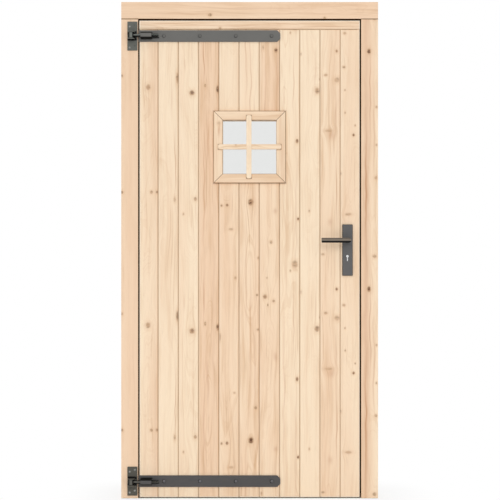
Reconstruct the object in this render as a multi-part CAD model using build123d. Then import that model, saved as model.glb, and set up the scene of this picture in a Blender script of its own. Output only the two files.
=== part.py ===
"""A ledged and framed wooden door in its timber frame, left-hung, opening outwards.

Millimetres, +Z up. X runs along the wall from the hinge jamb's outer face, the outside of
the door looks towards -Y, and Y = 0 is the middle of the frame's depth. Z = 0 is the floor.
"""
from build123d import *
import os
from math import atan2, degrees, hypot, sqrt

# Frame
FRAME_WIDTH = 1100.0
FRAME_HEIGHT = 2125.0
FRAME_DEPTH = 90.0
JAMB_FACE = 73.0          # width of a post and height of the head, seen from outside
REBATE_DEPTH = 63.0       # from the frame's front face back to the stop
STOP_WIDTH = 15.0         # how far the stop stands into the doorway
THRESHOLD_HEIGHT = 20.0
FRAME_TENON = (34.0, 30.0, 40.0)   # post's tenon into the head: X, Y and Z sizes
EASED_EDGE = 1.6          # chamfer on the head's lower front edge and on each post's top

# Leaf
HINGE_GAP = 5.0
LOCK_GAP = 5.6
TOP_GAP = 7.0
BOTTOM_GAP = 5.0
LEAF_THICKNESS = 58.0
BOARD_THICKNESS = 18.0
BOARD_COUNT = 11
FIRST_BOARD = 80.1        # visible width of the board on the hinge side
LAST_BOARD = 83.0         # and on the lock side; those between share the rest evenly
BOARD_VEE = 3.0           # chamfer on each visible long edge
BOARD_JOINT = 0.3         # open joint behind the vee
TONGUE = (6.0, 6.0)       # thickness and length
TOP_STRIP_HEIGHT = 36.5
STRIP_VEE = 2.0
STILE_WIDTH = 95.0
CLOSING_BEVEL = 2.6       # the lock stile stands back by this, so that the edge clears the jamb
TOP_RAIL_HEIGHT = 95.0
WINDOW_RAIL_HEIGHT = 70.0
MIDDLE_RAIL_HEIGHT = 120.0
BOTTOM_RAIL_HEIGHT = 120.0
BRACE_WIDTH = 95.0
TENON_THICKNESS = 14.0
TENON_LENGTH = 15.0       # short enough to stay clear of the lock
TENON_SHOULDER = 15.0
WOOD_FIT = 0.3            # clearance of a tenon, a tongue or a let-in piece

# Window
WINDOW_CENTRE_Z = 1503.0  # above the floor
DAYLIGHT = 229.0          # square opening that shows glass
TRIM_FACE = 38.5
TRIM_PROUD = 14.0
BACK_TRIM_THICKNESS = 18.0
GLASS_THICKNESS = 4.0
GLASS_LAP = 7.0           # glass hidden behind the trim on each side
APERTURE_LAP = 7.5        # hole in the boards, wider than the daylight on each side
SEAT = 0.3                # clearance at the glass
MITRE_GAP = 0.3
BAR_WIDTH = 22.0
BAR_THICKNESS = 9.0
BAR_LAP = 20.5            # bar's end past the daylight, on the trim
BAR_END_RADIUS = 9.0
UPRIGHT_BAR_OFFSET = -3.0

# Hinges
HINGE_INSET = (66.5, 68.2)         # below the leaf's top and above its foot
PIN_INSET = 28.8          # pin's axis back from the jamb's rebate edge
PIN_RADIUS = 6.0
PIN_FIT = 0.05
PIN_HEAD = (7.5, 1.4)     # radius and height of the peened ends
BRACKET_PLATE = (42.6, 4.0, 123.0)
BRACKET_OFFSET = 3.9      # plate's middle, towards the leaf from the pin
LUG_THICKNESS = 4.5
LUG_RADIUS = 14.6
EYE_RADIUS = 12.7
EYE_HEIGHT = 24.0
EYE_PLAY = 0.5            # between the eye and each lug
STUD_RADIUS = 6.6
STUD_TAIL = 29.0          # past the sleeve
SLEEVE_RADIUS = 14.0
SLEEVE_BORE_FIT = 0.5
SLEEVE_LENGTH = 47.0
SLEEVE_INSET = 10.5       # from the strap's end
STRAP_THICKNESS = 5.0
STRAP_HEIGHT = 49.0
STRAP_LENGTH = 606.5
STRAP_OVERHANG = 3.5      # past the leaf's hinge edge
STRAP_END_CUT = 13.5      # corners cut off at the far end
STRAP_END_ROUND = 4.0     # rounding of the corners that the cuts leave
STRAP_BOLTS = 4
FIRST_BOLT = 108.5        # from the strap's hinge end
BOLT_PITCH = 153.6
BOLT_HOLE = 8.4           # square, for the neck of a coach bolt
BRACKET_SCREWS = ((-7.8, 40.5), (14.0, 48.0), (-7.8, -49.0), (14.0, -40.5))
SCREW_RADIUS = 3.0

# Lock and handles
BACKSET = 52.6            # spindle from the leaf's closing edge
SPINDLE_Z = 1104.0        # above the floor
SPINDLE_SIZE = 8.0
SPINDLE_GRIP = 28.0       # length of the spindle inside each handle
KEYHOLE_DROP = 68.0       # spindle to the middle of the keyhole's round part
KEYHOLE_RADIUS = 5.3
KEYHOLE_SLOT = 5.0
KEYHOLE_HEIGHT = 26.0
HANDLE_PLATE = (44.0, 8.0, 219.0)
PLATE_DROP = 41.5         # plate's middle below the spindle
PLATE_CORNER = 2.5
PLATE_EDGE = 1.5
PLATE_SCREW_INSET = 14.0
PLATE_SCREW_RADIUS = 2.5
SCREW_FIT = 0.3
HANDLE_RADIUS = 10.5
HANDLE_PROJECTION = 42.0  # plate's face to the bar's middle
HANDLE_TIP = 2.0          # chamfer on the bar's end
HANDLE_LENGTH = 114.3
HANDLE_RUN = 0.3          # clearance of the neck in its plate
CASE = (75.0, 15.0, 165.0)
CASE_TOP = 45.0           # above the spindle
FACEPLATE = (3.0, 20.0, 235.0)
FACEPLATE_DROP = 38.0     # faceplate's middle below the spindle
LATCH = (12.0, 24.0)      # width and height
BOLT_TONGUE = (12.0, 36.0)
STRIKE = (2.0, 24.0, 200.0)
STRIKE_POCKET_DEPTH = 16.0

# Places that follow from the sizes above
FRONT = -FRAME_DEPTH / 2
STOP_Y = FRONT + REBATE_DEPTH
LEAF_X = (JAMB_FACE + HINGE_GAP, FRAME_WIDTH - JAMB_FACE - LOCK_GAP)
LEAF_Z = (BOTTOM_GAP, FRAME_HEIGHT - JAMB_FACE - TOP_GAP)
LEAF_WIDTH = LEAF_X[1] - LEAF_X[0]
BOARD_PITCH = (LEAF_WIDTH - FIRST_BOARD - LAST_BOARD) / (BOARD_COUNT - 2)
BOARD_BACK = FRONT + BOARD_THICKNESS
LEAF_BACK = FRONT + LEAF_THICKNESS
LEAF_MIDDLE = (FRONT + LEAF_BACK) / 2
STRIP_BOTTOM = LEAF_Z[1] - TOP_STRIP_HEIGHT
STILE_EDGE = LEAF_X[1] - CLOSING_BEVEL
RAIL_X = (LEAF_X[0] + STILE_WIDTH, STILE_EDGE - STILE_WIDTH)
PIN_X = JAMB_FACE - PIN_INSET
STRAP_FRONT = FRONT - STRAP_THICKNESS
PIN_Y = STRAP_FRONT - SLEEVE_RADIUS      # the sleeve lies on the strap and lines up with the pin
STRAP_X = (LEAF_X[0] - STRAP_OVERHANG, LEAF_X[0] - STRAP_OVERHANG + STRAP_LENGTH)
SLEEVE_X = (STRAP_X[0] + SLEEVE_INSET, STRAP_X[0] + SLEEVE_INSET + SLEEVE_LENGTH)
STRAP_BOLTS_X = [STRAP_X[0] + FIRST_BOLT + i * BOLT_PITCH for i in range(STRAP_BOLTS)]
WINDOW_CENTRE_X = FRAME_WIDTH / 2
TRIM_HALF = DAYLIGHT / 2 + TRIM_FACE
APERTURE_HALF = DAYLIGHT / 2 + APERTURE_LAP
TRIM_FRONT = FRONT - TRIM_PROUD
HINGE_HEIGHTS = {"upper": LEAF_Z[1] - HINGE_INSET[0], "lower": LEAF_Z[0] + HINGE_INSET[1]}
RAILS_Z = {
    "top_rail": (LEAF_Z[1] - TOP_RAIL_HEIGHT, LEAF_Z[1]),
    "window_rail": (WINDOW_CENTRE_Z + TRIM_HALF, WINDOW_CENTRE_Z + TRIM_HALF + WINDOW_RAIL_HEIGHT),
    "middle_rail": (WINDOW_CENTRE_Z - TRIM_HALF - MIDDLE_RAIL_HEIGHT, WINDOW_CENTRE_Z - TRIM_HALF),
    "bottom_rail": (LEAF_Z[0], LEAF_Z[0] + BOTTOM_RAIL_HEIGHT),
}
SPINDLE_X = LEAF_X[1] - BACKSET
PLATE_CENTRE_Z = SPINDLE_Z - PLATE_DROP
FACEPLATE_CENTRE_Z = SPINDLE_Z - FACEPLATE_DROP
CASE_TOP_Z = SPINDLE_Z + CASE_TOP
HANDLE_TIP_X = SPINDLE_X - HANDLE_LENGTH
PLATE_SCREWS_Z = (PLATE_CENTRE_Z - HANDLE_PLATE[2] / 2 + PLATE_SCREW_INSET,
                  PLATE_CENTRE_Z + HANDLE_PLATE[2] / 2 - PLATE_SCREW_INSET)


def block(x, y, z):
    """Box between two corners, each axis given as (low, high)."""
    size = (x[1] - x[0], y[1] - y[0], z[1] - z[0])
    return Pos((x[0] + x[1]) / 2, (y[0] + y[1]) / 2, (z[0] + z[1]) / 2) * Box(*size)


def rod_x(radius, x, y, z):
    return Pos((x[0] + x[1]) / 2, y, z) * Rot(0, 90, 0) * Cylinder(radius, x[1] - x[0])


def rod_y(radius, x, y, z):
    return Pos(x, (y[0] + y[1]) / 2, z) * Rot(90, 0, 0) * Cylinder(radius, y[1] - y[0])


def rod_z(radius, x, y, z):
    return Pos(x, y, (z[0] + z[1]) / 2) * Cylinder(radius, z[1] - z[0])


def prism_z(points, z):
    """Outline in plan, raised from z[0] to z[1]."""
    face = make_face(Polyline(*points, close=True))
    return Pos(0, 0, z[0]) * extrude(face, amount=z[1] - z[0], dir=(0, 0, 1))


def prism_y(points, y):
    """Outline in elevation, as (x, z) points, taken from y[0] back to y[1]."""
    face = make_face(Polyline(*[(px, 0, pz) for px, pz in points], close=True))
    return Pos(0, y[0], 0) * extrude(face, amount=y[1] - y[0], dir=(0, 1, 0))


def keyhole(y, grow=0.0):
    """Round head over a straight slot, right through from y[0] to y[1]."""
    z_round = SPINDLE_Z - KEYHOLE_DROP
    z_low = z_round + KEYHOLE_RADIUS - KEYHOLE_HEIGHT
    half = KEYHOLE_SLOT / 2 + grow
    slot = block((SPINDLE_X - half, SPINDLE_X + half), y, (z_low - grow, z_round))
    return slot + rod_y(KEYHOLE_RADIUS + grow, SPINDLE_X, y, z_round)


def jamb_section(side):
    """Plan outline of a post with its stop; side is +1 for the hinge post, -1 for the lock post."""
    outer = 0.0 if side > 0 else FRAME_WIDTH
    face = outer + side * JAMB_FACE
    stop = face + side * STOP_WIDTH
    return [(outer, FRONT), (face, FRONT), (face, STOP_Y), (stop, STOP_Y), (stop, -FRONT), (outer, -FRONT)]


def frame_tenon(side, grow=0.0):
    """Stub tenon on a post's top, let into the head."""
    middle = JAMB_FACE / 2 if side > 0 else FRAME_WIDTH - JAMB_FACE / 2
    dx, dy, dz = FRAME_TENON
    top = FRAME_HEIGHT - JAMB_FACE
    return block((middle - dx / 2 - grow, middle + dx / 2 + grow), (-dy / 2 - grow, dy / 2 + grow),
                 (top, top + dz + grow))


def post(side):
    top = FRAME_HEIGHT - JAMB_FACE
    timber = prism_z(jamb_section(side), (0, top))
    upper_edges = timber.edges().filter_by(Axis.X).filter_by_position(Axis.Z, top - 1, top + 1)
    return chamfer(upper_edges.sort_by(Axis.Y)[0], EASED_EDGE) + frame_tenon(side)


def strike_outline(x, grow=0.0):
    half_y, half_z = STRIKE[1] / 2 + grow, STRIKE[2] / 2 + grow
    return block(x, (LEAF_MIDDLE - half_y, LEAF_MIDDLE + half_y),
                 (FACEPLATE_CENTRE_Z - half_z, FACEPLATE_CENTRE_Z + half_z))


def lock_openings(x, grow):
    """The latch's and the bolt's way through a plate or into a pocket."""
    cuts = []
    for (width, height), z in ((LATCH, SPINDLE_Z), (BOLT_TONGUE, SPINDLE_Z - KEYHOLE_DROP)):
        cuts.append(block(x, (LEAF_MIDDLE - width / 2 - grow, LEAF_MIDDLE + width / 2 + grow),
                          (z - height / 2 - grow, z + height / 2 + grow)))
    return cuts


def make_lock_jamb():
    face = FRAME_WIDTH - JAMB_FACE
    jamb = post(-1) - strike_outline((face - 1, face + STRIKE[0]))
    for cut in lock_openings((face - 1, face + STRIKE_POCKET_DEPTH), 1.5):
        jamb -= cut
    return jamb


def make_head():
    low = FRAME_HEIGHT - JAMB_FACE
    head = block((0, FRAME_WIDTH), (FRONT, -FRONT), (low, FRAME_HEIGHT))
    lower_edges = head.edges().filter_by(Axis.X).sort_by(Axis.Z)[:2]
    head = chamfer(lower_edges.sort_by(Axis.Y)[0], EASED_EDGE)
    inner = JAMB_FACE + STOP_WIDTH
    head += block((inner, FRAME_WIDTH - inner), (STOP_Y, -FRONT), (low - STOP_WIDTH, low))
    return head - frame_tenon(1, WOOD_FIT) - frame_tenon(-1, WOOD_FIT)


def make_threshold():
    inner = JAMB_FACE + STOP_WIDTH
    sill = block((inner, FRAME_WIDTH - inner), (STOP_Y, -FRONT), (0, THRESHOLD_HEIGHT))
    return chamfer(sill.edges().filter_by(Axis.X).sort_by(Axis.Z)[-2:], 4.0)


def make_strike_plate():
    face = FRAME_WIDTH - JAMB_FACE
    plate = strike_outline((face, face + STRIKE[0]), -WOOD_FIT)
    for cut in lock_openings((face - 1, face + STRIKE[0] + 1), 1.0):
        plate -= cut
    return plate


def make_bracket(z):
    """Plate on the jamb with two lugs that carry the hinge pin, and four screw holes."""
    width, thick, height = BRACKET_PLATE
    front = FRONT - thick
    middle = PIN_X + BRACKET_OFFSET
    plate = block((middle - width / 2, middle + width / 2), (front, FRONT), (z - height / 2, z + height / 2))
    plate = chamfer(plate.edges().filter_by(Axis.Y), 1.5)
    inner = EYE_HEIGHT / 2 + EYE_PLAY
    for low in (z + inner, z - inner - LUG_THICKNESS):
        span = (low, low + LUG_THICKNESS)
        lug = rod_z(LUG_RADIUS, PIN_X, PIN_Y, span)
        lug += block((PIN_X - LUG_RADIUS, PIN_X + LUG_RADIUS), (PIN_Y, front), span)
        plate += lug - rod_z(PIN_RADIUS + PIN_FIT, PIN_X, PIN_Y, (low - 1, low + LUG_THICKNESS + 1))
    for dx, dz in BRACKET_SCREWS:
        plate -= rod_y(SCREW_RADIUS, PIN_X + dx, (front - 1, FRONT + 1), z + dz)
    return plate


def make_pin(z):
    """Hinge pin through the eye, with a low peened head on each lug."""
    half = EYE_HEIGHT / 2 + EYE_PLAY + LUG_THICKNESS
    radius, height = PIN_HEAD
    outline = [(0, half + height), (PIN_RADIUS, half + height), (radius, half + height / 2), (radius, half),
               (PIN_RADIUS, half)]
    outline += [(x, -y) for x, y in reversed(outline)]
    face = make_face(Polyline(*outline, close=True))
    return Pos(PIN_X, PIN_Y, z) * Rot(90, 0, 0) * revolve(face, axis=Axis.Y)


def make_eyebolt(z):
    """Eye on the pin with a long stud that runs through the strap's sleeve."""
    eye = rod_z(EYE_RADIUS, PIN_X, PIN_Y, (z - EYE_HEIGHT / 2, z + EYE_HEIGHT / 2))
    eye = chamfer(eye.edges(), 1.2)
    stud = rod_x(STUD_RADIUS, (PIN_X, SLEEVE_X[1] + STUD_TAIL), PIN_Y, z)
    return eye + stud - rod_z(PIN_RADIUS + PIN_FIT, PIN_X, PIN_Y, (z - EYE_HEIGHT, z + EYE_HEIGHT))


def make_strap(z):
    """Long flat strap with the sleeve welded on its hinge end."""
    half = STRAP_HEIGHT / 2
    strap = block(STRAP_X, (STRAP_FRONT, FRONT), (z - half, z + half))
    strap = chamfer(strap.edges().filter_by(Axis.Y).sort_by(Axis.X)[-2:], STRAP_END_CUT)
    strap = fillet(strap.edges().filter_by(Axis.Y).sort_by(Axis.X)[-4:], STRAP_END_ROUND)
    strap += rod_x(SLEEVE_RADIUS, SLEEVE_X, PIN_Y, z)
    weld = SLEEVE_RADIUS * 0.62
    strap += block(SLEEVE_X, (PIN_Y + SLEEVE_RADIUS * 0.6, STRAP_FRONT), (z - weld, z + weld))
    bore = STUD_RADIUS + SLEEVE_BORE_FIT
    strap -= rod_x(bore, (SLEEVE_X[0] - 1, SLEEVE_X[1] + 1), PIN_Y, z)
    for x in STRAP_BOLTS_X:
        strap -= block((x - BOLT_HOLE / 2, x + BOLT_HOLE / 2), (STRAP_FRONT - 1, FRONT + 1),
                       (z - BOLT_HOLE / 2, z + BOLT_HOLE / 2))
    return strap


def handle_holes(y):
    """Holes for the spindle, the key and the two through screws of the handle plates."""
    cuts = [rod_y(SPINDLE_SIZE * 1.3, SPINDLE_X, y, SPINDLE_Z), keyhole(y, 1.2)]
    cuts += [rod_y(PLATE_SCREW_RADIUS + SCREW_FIT, SPINDLE_X, y, z) for z in PLATE_SCREWS_Z]
    return cuts


def make_board(number):
    """Tongued and grooved board, vee-jointed in front; the end boards have a plain outer edge."""
    last = number == BOARD_COUNT - 1
    left = LEAF_X[0] + (FIRST_BOARD + (number - 1) * BOARD_PITCH if number else 0)
    right = LEAF_X[1] if last else LEAF_X[0] + FIRST_BOARD + number * BOARD_PITCH
    left += BOARD_JOINT / 2 if number else 0
    right -= 0 if last else BOARD_JOINT / 2
    thick, length = TONGUE
    middle = (FRONT + BOARD_BACK) / 2
    outline = [(left + BOARD_VEE, FRONT), (right - BOARD_VEE, FRONT), (right, FRONT + BOARD_VEE)]
    if not last:
        outline += [(right, middle - thick / 2), (right + length, middle - thick / 2),
                    (right + length, middle + thick / 2), (right, middle + thick / 2)]
    outline += [(right, BOARD_BACK), (left, BOARD_BACK)]
    if number:
        half, depth = thick / 2 + WOOD_FIT, length + BOARD_JOINT + WOOD_FIT
        outline += [(left, middle + half), (left + depth, middle + half),
                    (left + depth, middle - half), (left, middle - half)]
    outline += [(left, FRONT + BOARD_VEE)]
    board = prism_z(outline, (LEAF_Z[0], STRIP_BOTTOM - BOARD_JOINT))
    vee = Pos(0, FRONT, STRIP_BOTTOM - BOARD_JOINT) * Rot(45, 0, 0)
    board -= vee * Pos((left + right) / 2, 0, 0) * Box(2 * BOARD_PITCH, BOARD_VEE * sqrt(2), BOARD_VEE * sqrt(2))
    board -= block((WINDOW_CENTRE_X - APERTURE_HALF, WINDOW_CENTRE_X + APERTURE_HALF),
                   (FRONT - 1, BOARD_BACK + 1),
                   (WINDOW_CENTRE_Z - APERTURE_HALF, WINDOW_CENTRE_Z + APERTURE_HALF))
    if right + length > SPINDLE_X - HANDLE_RADIUS:
        for hole in handle_holes((FRONT - 1, BOARD_BACK + 1)):
            board -= hole
    return board


def rail_tenons(z, grow=0.0):
    """Stub tenons at both ends of a rail; with grow, the mortises that take them."""
    half = TENON_THICKNESS / 2 + grow
    middle = (BOARD_BACK + LEAF_BACK) / 2
    span_z = (z[0] + TENON_SHOULDER - grow, z[1] - TENON_SHOULDER + grow)
    reach = TENON_LENGTH + grow
    return [block((RAIL_X[0] - reach, RAIL_X[0]), (middle - half, middle + half), span_z),
            block((RAIL_X[1], RAIL_X[1] + reach), (middle - half, middle + half), span_z)]


def make_rail(name):
    z = RAILS_Z[name]
    rail = block(RAIL_X, (BOARD_BACK, LEAF_BACK), z)
    for tenon in rail_tenons(z):
        rail += tenon
    if name == "top_rail":
        strip = block(LEAF_X, (FRONT, BOARD_BACK), (STRIP_BOTTOM, LEAF_Z[1]))
        rail += chamfer(strip.edges().filter_by(Axis.X).sort_by(Axis.Z)[:2].sort_by(Axis.Y)[0], STRIP_VEE)
    return rail


def make_stile(side):
    """Upright of the leaf's back frame, mortised for the four rails; side +1 is the hinge stile."""
    x = (LEAF_X[0], RAIL_X[0]) if side > 0 else (RAIL_X[1], STILE_EDGE)
    stile = block(x, (BOARD_BACK, LEAF_BACK), LEAF_Z)
    for z in RAILS_Z.values():
        stile -= rail_tenons(z, WOOD_FIT)[0 if side > 0 else 1]
    return stile


def case_block(grow=0.0):
    """Lock case, from the faceplate back into the stile."""
    half = CASE[1] / 2 + grow
    low = CASE_TOP_Z - CASE[2]
    face = STILE_EDGE - FACEPLATE[0]
    return block((face - CASE[0] - grow, face), (LEAF_MIDDLE - half, LEAF_MIDDLE + half),
                 (low - grow, CASE_TOP_Z + grow))


def faceplate_block(grow=0.0):
    half_y, half_z = FACEPLATE[1] / 2 + grow, FACEPLATE[2] / 2 + grow
    return block((STILE_EDGE - FACEPLATE[0] - grow, STILE_EDGE), (LEAF_MIDDLE - half_y, LEAF_MIDDLE + half_y),
                 (FACEPLATE_CENTRE_Z - half_z, FACEPLATE_CENTRE_Z + half_z))


def make_lock_stile():
    stile = make_stile(-1) - case_block(WOOD_FIT) - faceplate_block(WOOD_FIT)
    for hole in handle_holes((BOARD_BACK - 1, LEAF_BACK + 1)):
        stile -= hole
    return stile


def make_lock_case():
    """Mortise lock with its faceplate; the latch and the bolt are drawn back flush."""
    lock = case_block() + faceplate_block()
    y = (LEAF_MIDDLE - CASE[1], LEAF_MIDDLE + CASE[1])
    lock -= rod_y(SPINDLE_SIZE * 0.8, SPINDLE_X, y, SPINDLE_Z)
    lock -= keyhole(y, 0.5)
    groove = (STILE_EDGE - FACEPLATE[0] + 0.5, STILE_EDGE + 1)
    for outer, inner in zip(lock_openings(groove, 0.5), lock_openings(groove, 0.0)):
        lock -= outer - inner
    return lock


def make_brace():
    """Diagonal from the foot of the hinge stile up to the lock stile, seated in both corners."""
    z = (RAILS_Z["bottom_rail"][1], RAILS_Z["middle_rail"][0])
    run, rise = RAIL_X[1] - RAIL_X[0], z[1] - z[0]
    bar = Box(hypot(run, rise) + 2 * BRACE_WIDTH, LEAF_BACK - BOARD_BACK, BRACE_WIDTH)
    centre = Pos(sum(RAIL_X) / 2, (BOARD_BACK + LEAF_BACK) / 2, sum(z) / 2)
    return (centre * Rot(0, -degrees(atan2(rise, run)), 0) * bar) & block(RAIL_X, (BOARD_BACK, LEAF_BACK), z)


def ring_side(turn, outer, inner, y, soften=0.0):
    """One mitred side of a square frame around the window; turn counts quarter turns."""
    ease = MITRE_GAP / sqrt(2)
    points = [(-outer + ease, outer), (outer - ease, outer), (inner - ease, inner), (-inner + ease, inner)]
    side = prism_y(points, y)
    if soften:
        side = chamfer(side.edges().filter_by(Axis.X).sort_by(Axis.Y)[:2], soften)
    return Pos(WINDOW_CENTRE_X, 0, WINDOW_CENTRE_Z) * Rot(0, 90 * turn, 0) * side


def make_front_trim():
    return Compound(children=[ring_side(turn, TRIM_HALF, DAYLIGHT / 2, (TRIM_FRONT, FRONT), 1.5)
                              for turn in range(4)])


def make_back_trim():
    """Trim on the back of the boards, with a nose that holds the glass against the front trim."""
    nose_front = FRONT + SEAT + GLASS_THICKNESS + SEAT
    face = (BOARD_BACK, BOARD_BACK + BACK_TRIM_THICKNESS)
    sides = []
    for turn in range(4):
        side = ring_side(turn, TRIM_HALF, DAYLIGHT / 2, face)
        sides.append(side + ring_side(turn, APERTURE_HALF - WOOD_FIT, DAYLIGHT / 2, (nose_front, BOARD_BACK)))
    return Compound(children=sides)


def make_glass():
    half = DAYLIGHT / 2 + GLASS_LAP
    return block((WINDOW_CENTRE_X - half, WINDOW_CENTRE_X + half),
                 (FRONT + SEAT, FRONT + SEAT + GLASS_THICKNESS),
                 (WINDOW_CENTRE_Z - half, WINDOW_CENTRE_Z + half))


def window_bar(upright):
    """Glazing bar planted on the trim, round-ended and halved over its fellow."""
    half, width = DAYLIGHT / 2 + BAR_LAP, BAR_WIDTH / 2
    bar = block((-half, half), (TRIM_FRONT - BAR_THICKNESS, TRIM_FRONT), (-width, width))
    bar = fillet(bar.edges().filter_by(Axis.Y), BAR_END_RADIUS)
    bar = chamfer(bar.faces().sort_by(Axis.Y)[0].edges(), 1.2)
    offset = UPRIGHT_BAR_OFFSET
    middle = TRIM_FRONT - BAR_THICKNESS / 2
    if upright:
        bar = Pos(offset, 0, 0) * Rot(0, 90, 0) * bar
        notch = block((offset - 2 * width, offset + 2 * width), (middle, TRIM_FRONT + 1), (-width, width))
    else:
        notch = block((offset - width, offset + width), (TRIM_FRONT - BAR_THICKNESS - 1, middle),
                      (-2 * width, 2 * width))
    return Pos(WINDOW_CENTRE_X, 0, WINDOW_CENTRE_Z) * (bar - notch)


def make_handle_plate(y, face, screwed):
    """Plate on one side of the leaf; face is the y of its visible side."""
    half_x, half_z = HANDLE_PLATE[0] / 2, HANDLE_PLATE[2] / 2
    plate = block((SPINDLE_X - half_x, SPINDLE_X + half_x), y, (PLATE_CENTRE_Z - half_z, PLATE_CENTRE_Z + half_z))
    plate = fillet(plate.edges().filter_by(Axis.Y), PLATE_CORNER)
    visible = [f for f in plate.faces().filter_by(Axis.Y) if abs(f.center().Y - face) < 0.01][0]
    plate = chamfer(visible.edges(), PLATE_EDGE)
    through = (y[0] - 1, y[1] + 1)
    plate -= rod_y(HANDLE_RADIUS + HANDLE_RUN, SPINDLE_X, through, SPINDLE_Z)
    plate -= keyhole(through)
    for z in PLATE_SCREWS_Z:
        if screwed:
            plate -= rod_y(PLATE_SCREW_RADIUS + SCREW_FIT, SPINDLE_X, through, z)
    return plate


def make_handle(base, out):
    """Round bar handle with a mitred corner: out is -1 in front and +1 behind, base its plate's face."""
    inner = base - out * (HANDLE_PLATE[1] - 1)
    axis_y = base + out * HANDLE_PROJECTION
    reach = 2 * HANDLE_RADIUS
    bar = rod_x(HANDLE_RADIUS, (HANDLE_TIP_X, SPINDLE_X + reach), axis_y, SPINDLE_Z)
    bar = chamfer(bar.edges().sort_by(Axis.X)[0], HANDLE_TIP)
    neck = rod_y(HANDLE_RADIUS, SPINDLE_X, sorted((inner, axis_y + out * reach)), SPINDLE_Z)
    corner = [(SPINDLE_X + reach, axis_y + out * reach), (SPINDLE_X - reach, axis_y - out * reach),
              (SPINDLE_X + reach, axis_y - out * reach)]
    mitre = prism_z(corner, (SPINDLE_Z - reach, SPINDLE_Z + reach))
    outside = block((SPINDLE_X - 2 * reach, SPINDLE_X + reach + 1), sorted((axis_y, axis_y + out * (reach + 1))),
                    (SPINDLE_Z - reach, SPINDLE_Z + reach)) - mitre
    half = SPINDLE_SIZE / 2 + 0.1
    depth = sorted((inner - out, inner + out * (SPINDLE_GRIP + 1)))
    socket = block((SPINDLE_X - half, SPINDLE_X + half), depth, (SPINDLE_Z - half, SPINDLE_Z + half))
    return (bar - mitre) + (neck - outside) - socket


def make_spindle():
    half = SPINDLE_SIZE / 2
    plate = HANDLE_PLATE[1]
    y = (FRONT - plate + (plate - 1) - SPINDLE_GRIP, LEAF_BACK + plate - (plate - 1) + SPINDLE_GRIP)
    return block((SPINDLE_X - half, SPINDLE_X + half), y, (SPINDLE_Z - half, SPINDLE_Z + half))


def make_parts():
    plate = HANDLE_PLATE[1]
    parts = {
        "hinge_jamb": post(1),
        "lock_jamb": make_lock_jamb(),
        "head": make_head(),
        "threshold": make_threshold(),
        "strike_plate": make_strike_plate(),
        "hinge_stile": make_stile(1),
        "lock_stile": make_lock_stile(),
        "brace": make_brace(),
        "front_trim": make_front_trim(),
        "back_trim": make_back_trim(),
        "glass": make_glass(),
        "upright_bar": window_bar(True),
        "cross_bar": window_bar(False),
        "lock_case": make_lock_case(),
        "outer_plate": make_handle_plate((FRONT - plate, FRONT), FRONT - plate, False),
        "inner_plate": make_handle_plate((LEAF_BACK, LEAF_BACK + plate), LEAF_BACK + plate, True),
        "outer_handle": make_handle(FRONT - plate, -1),
        "inner_handle": make_handle(LEAF_BACK + plate, 1),
        "spindle": make_spindle(),
        "hinge_pins": Compound(children=[make_pin(z) for z in HINGE_HEIGHTS.values()]),
    }
    for name in RAILS_Z:
        parts[name] = make_rail(name)
    for number in range(BOARD_COUNT):
        parts[f"board_{number + 1:02d}"] = make_board(number)
    for place, z in HINGE_HEIGHTS.items():
        parts[f"{place}_bracket"] = make_bracket(z)
        parts[f"{place}_eyebolt"] = make_eyebolt(z)
        parts[f"{place}_strap"] = make_strap(z)
    return parts


os.makedirs("parts", exist_ok=True)
for name, solid in make_parts().items():
    export_step(solid, f"parts/{name}.step")
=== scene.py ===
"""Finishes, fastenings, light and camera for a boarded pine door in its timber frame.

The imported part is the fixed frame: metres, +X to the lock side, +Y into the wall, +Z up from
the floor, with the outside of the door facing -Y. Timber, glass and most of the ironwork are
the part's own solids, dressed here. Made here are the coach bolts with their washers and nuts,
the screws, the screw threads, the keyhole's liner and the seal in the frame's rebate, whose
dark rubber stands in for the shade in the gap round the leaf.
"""
import math

import bmesh
import bpy
import numpy as np
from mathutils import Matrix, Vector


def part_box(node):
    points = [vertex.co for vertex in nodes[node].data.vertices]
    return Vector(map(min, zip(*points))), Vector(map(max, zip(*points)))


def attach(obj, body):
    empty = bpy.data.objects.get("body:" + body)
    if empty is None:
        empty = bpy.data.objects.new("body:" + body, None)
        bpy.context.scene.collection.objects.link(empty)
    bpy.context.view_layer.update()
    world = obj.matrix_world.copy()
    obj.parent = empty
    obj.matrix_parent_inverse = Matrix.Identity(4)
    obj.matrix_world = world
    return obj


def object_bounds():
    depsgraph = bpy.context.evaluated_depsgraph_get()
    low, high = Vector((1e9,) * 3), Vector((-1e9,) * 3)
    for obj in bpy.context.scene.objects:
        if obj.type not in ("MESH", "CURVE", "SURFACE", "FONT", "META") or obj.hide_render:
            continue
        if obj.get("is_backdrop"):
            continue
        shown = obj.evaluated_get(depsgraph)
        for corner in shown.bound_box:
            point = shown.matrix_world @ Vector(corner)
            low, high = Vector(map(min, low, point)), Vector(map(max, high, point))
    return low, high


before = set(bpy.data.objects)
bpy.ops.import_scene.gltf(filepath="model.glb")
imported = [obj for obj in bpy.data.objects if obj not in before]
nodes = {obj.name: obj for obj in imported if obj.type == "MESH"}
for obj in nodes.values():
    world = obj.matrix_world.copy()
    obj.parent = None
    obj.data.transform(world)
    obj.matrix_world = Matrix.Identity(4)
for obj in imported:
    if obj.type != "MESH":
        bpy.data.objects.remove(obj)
cad_low, cad_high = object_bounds()

MM = 0.001
TAU = 2 * math.pi


def middle_of(node):
    """Middle of the box round a piece of the part."""
    low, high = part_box(node)
    return (low + high) / 2


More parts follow.
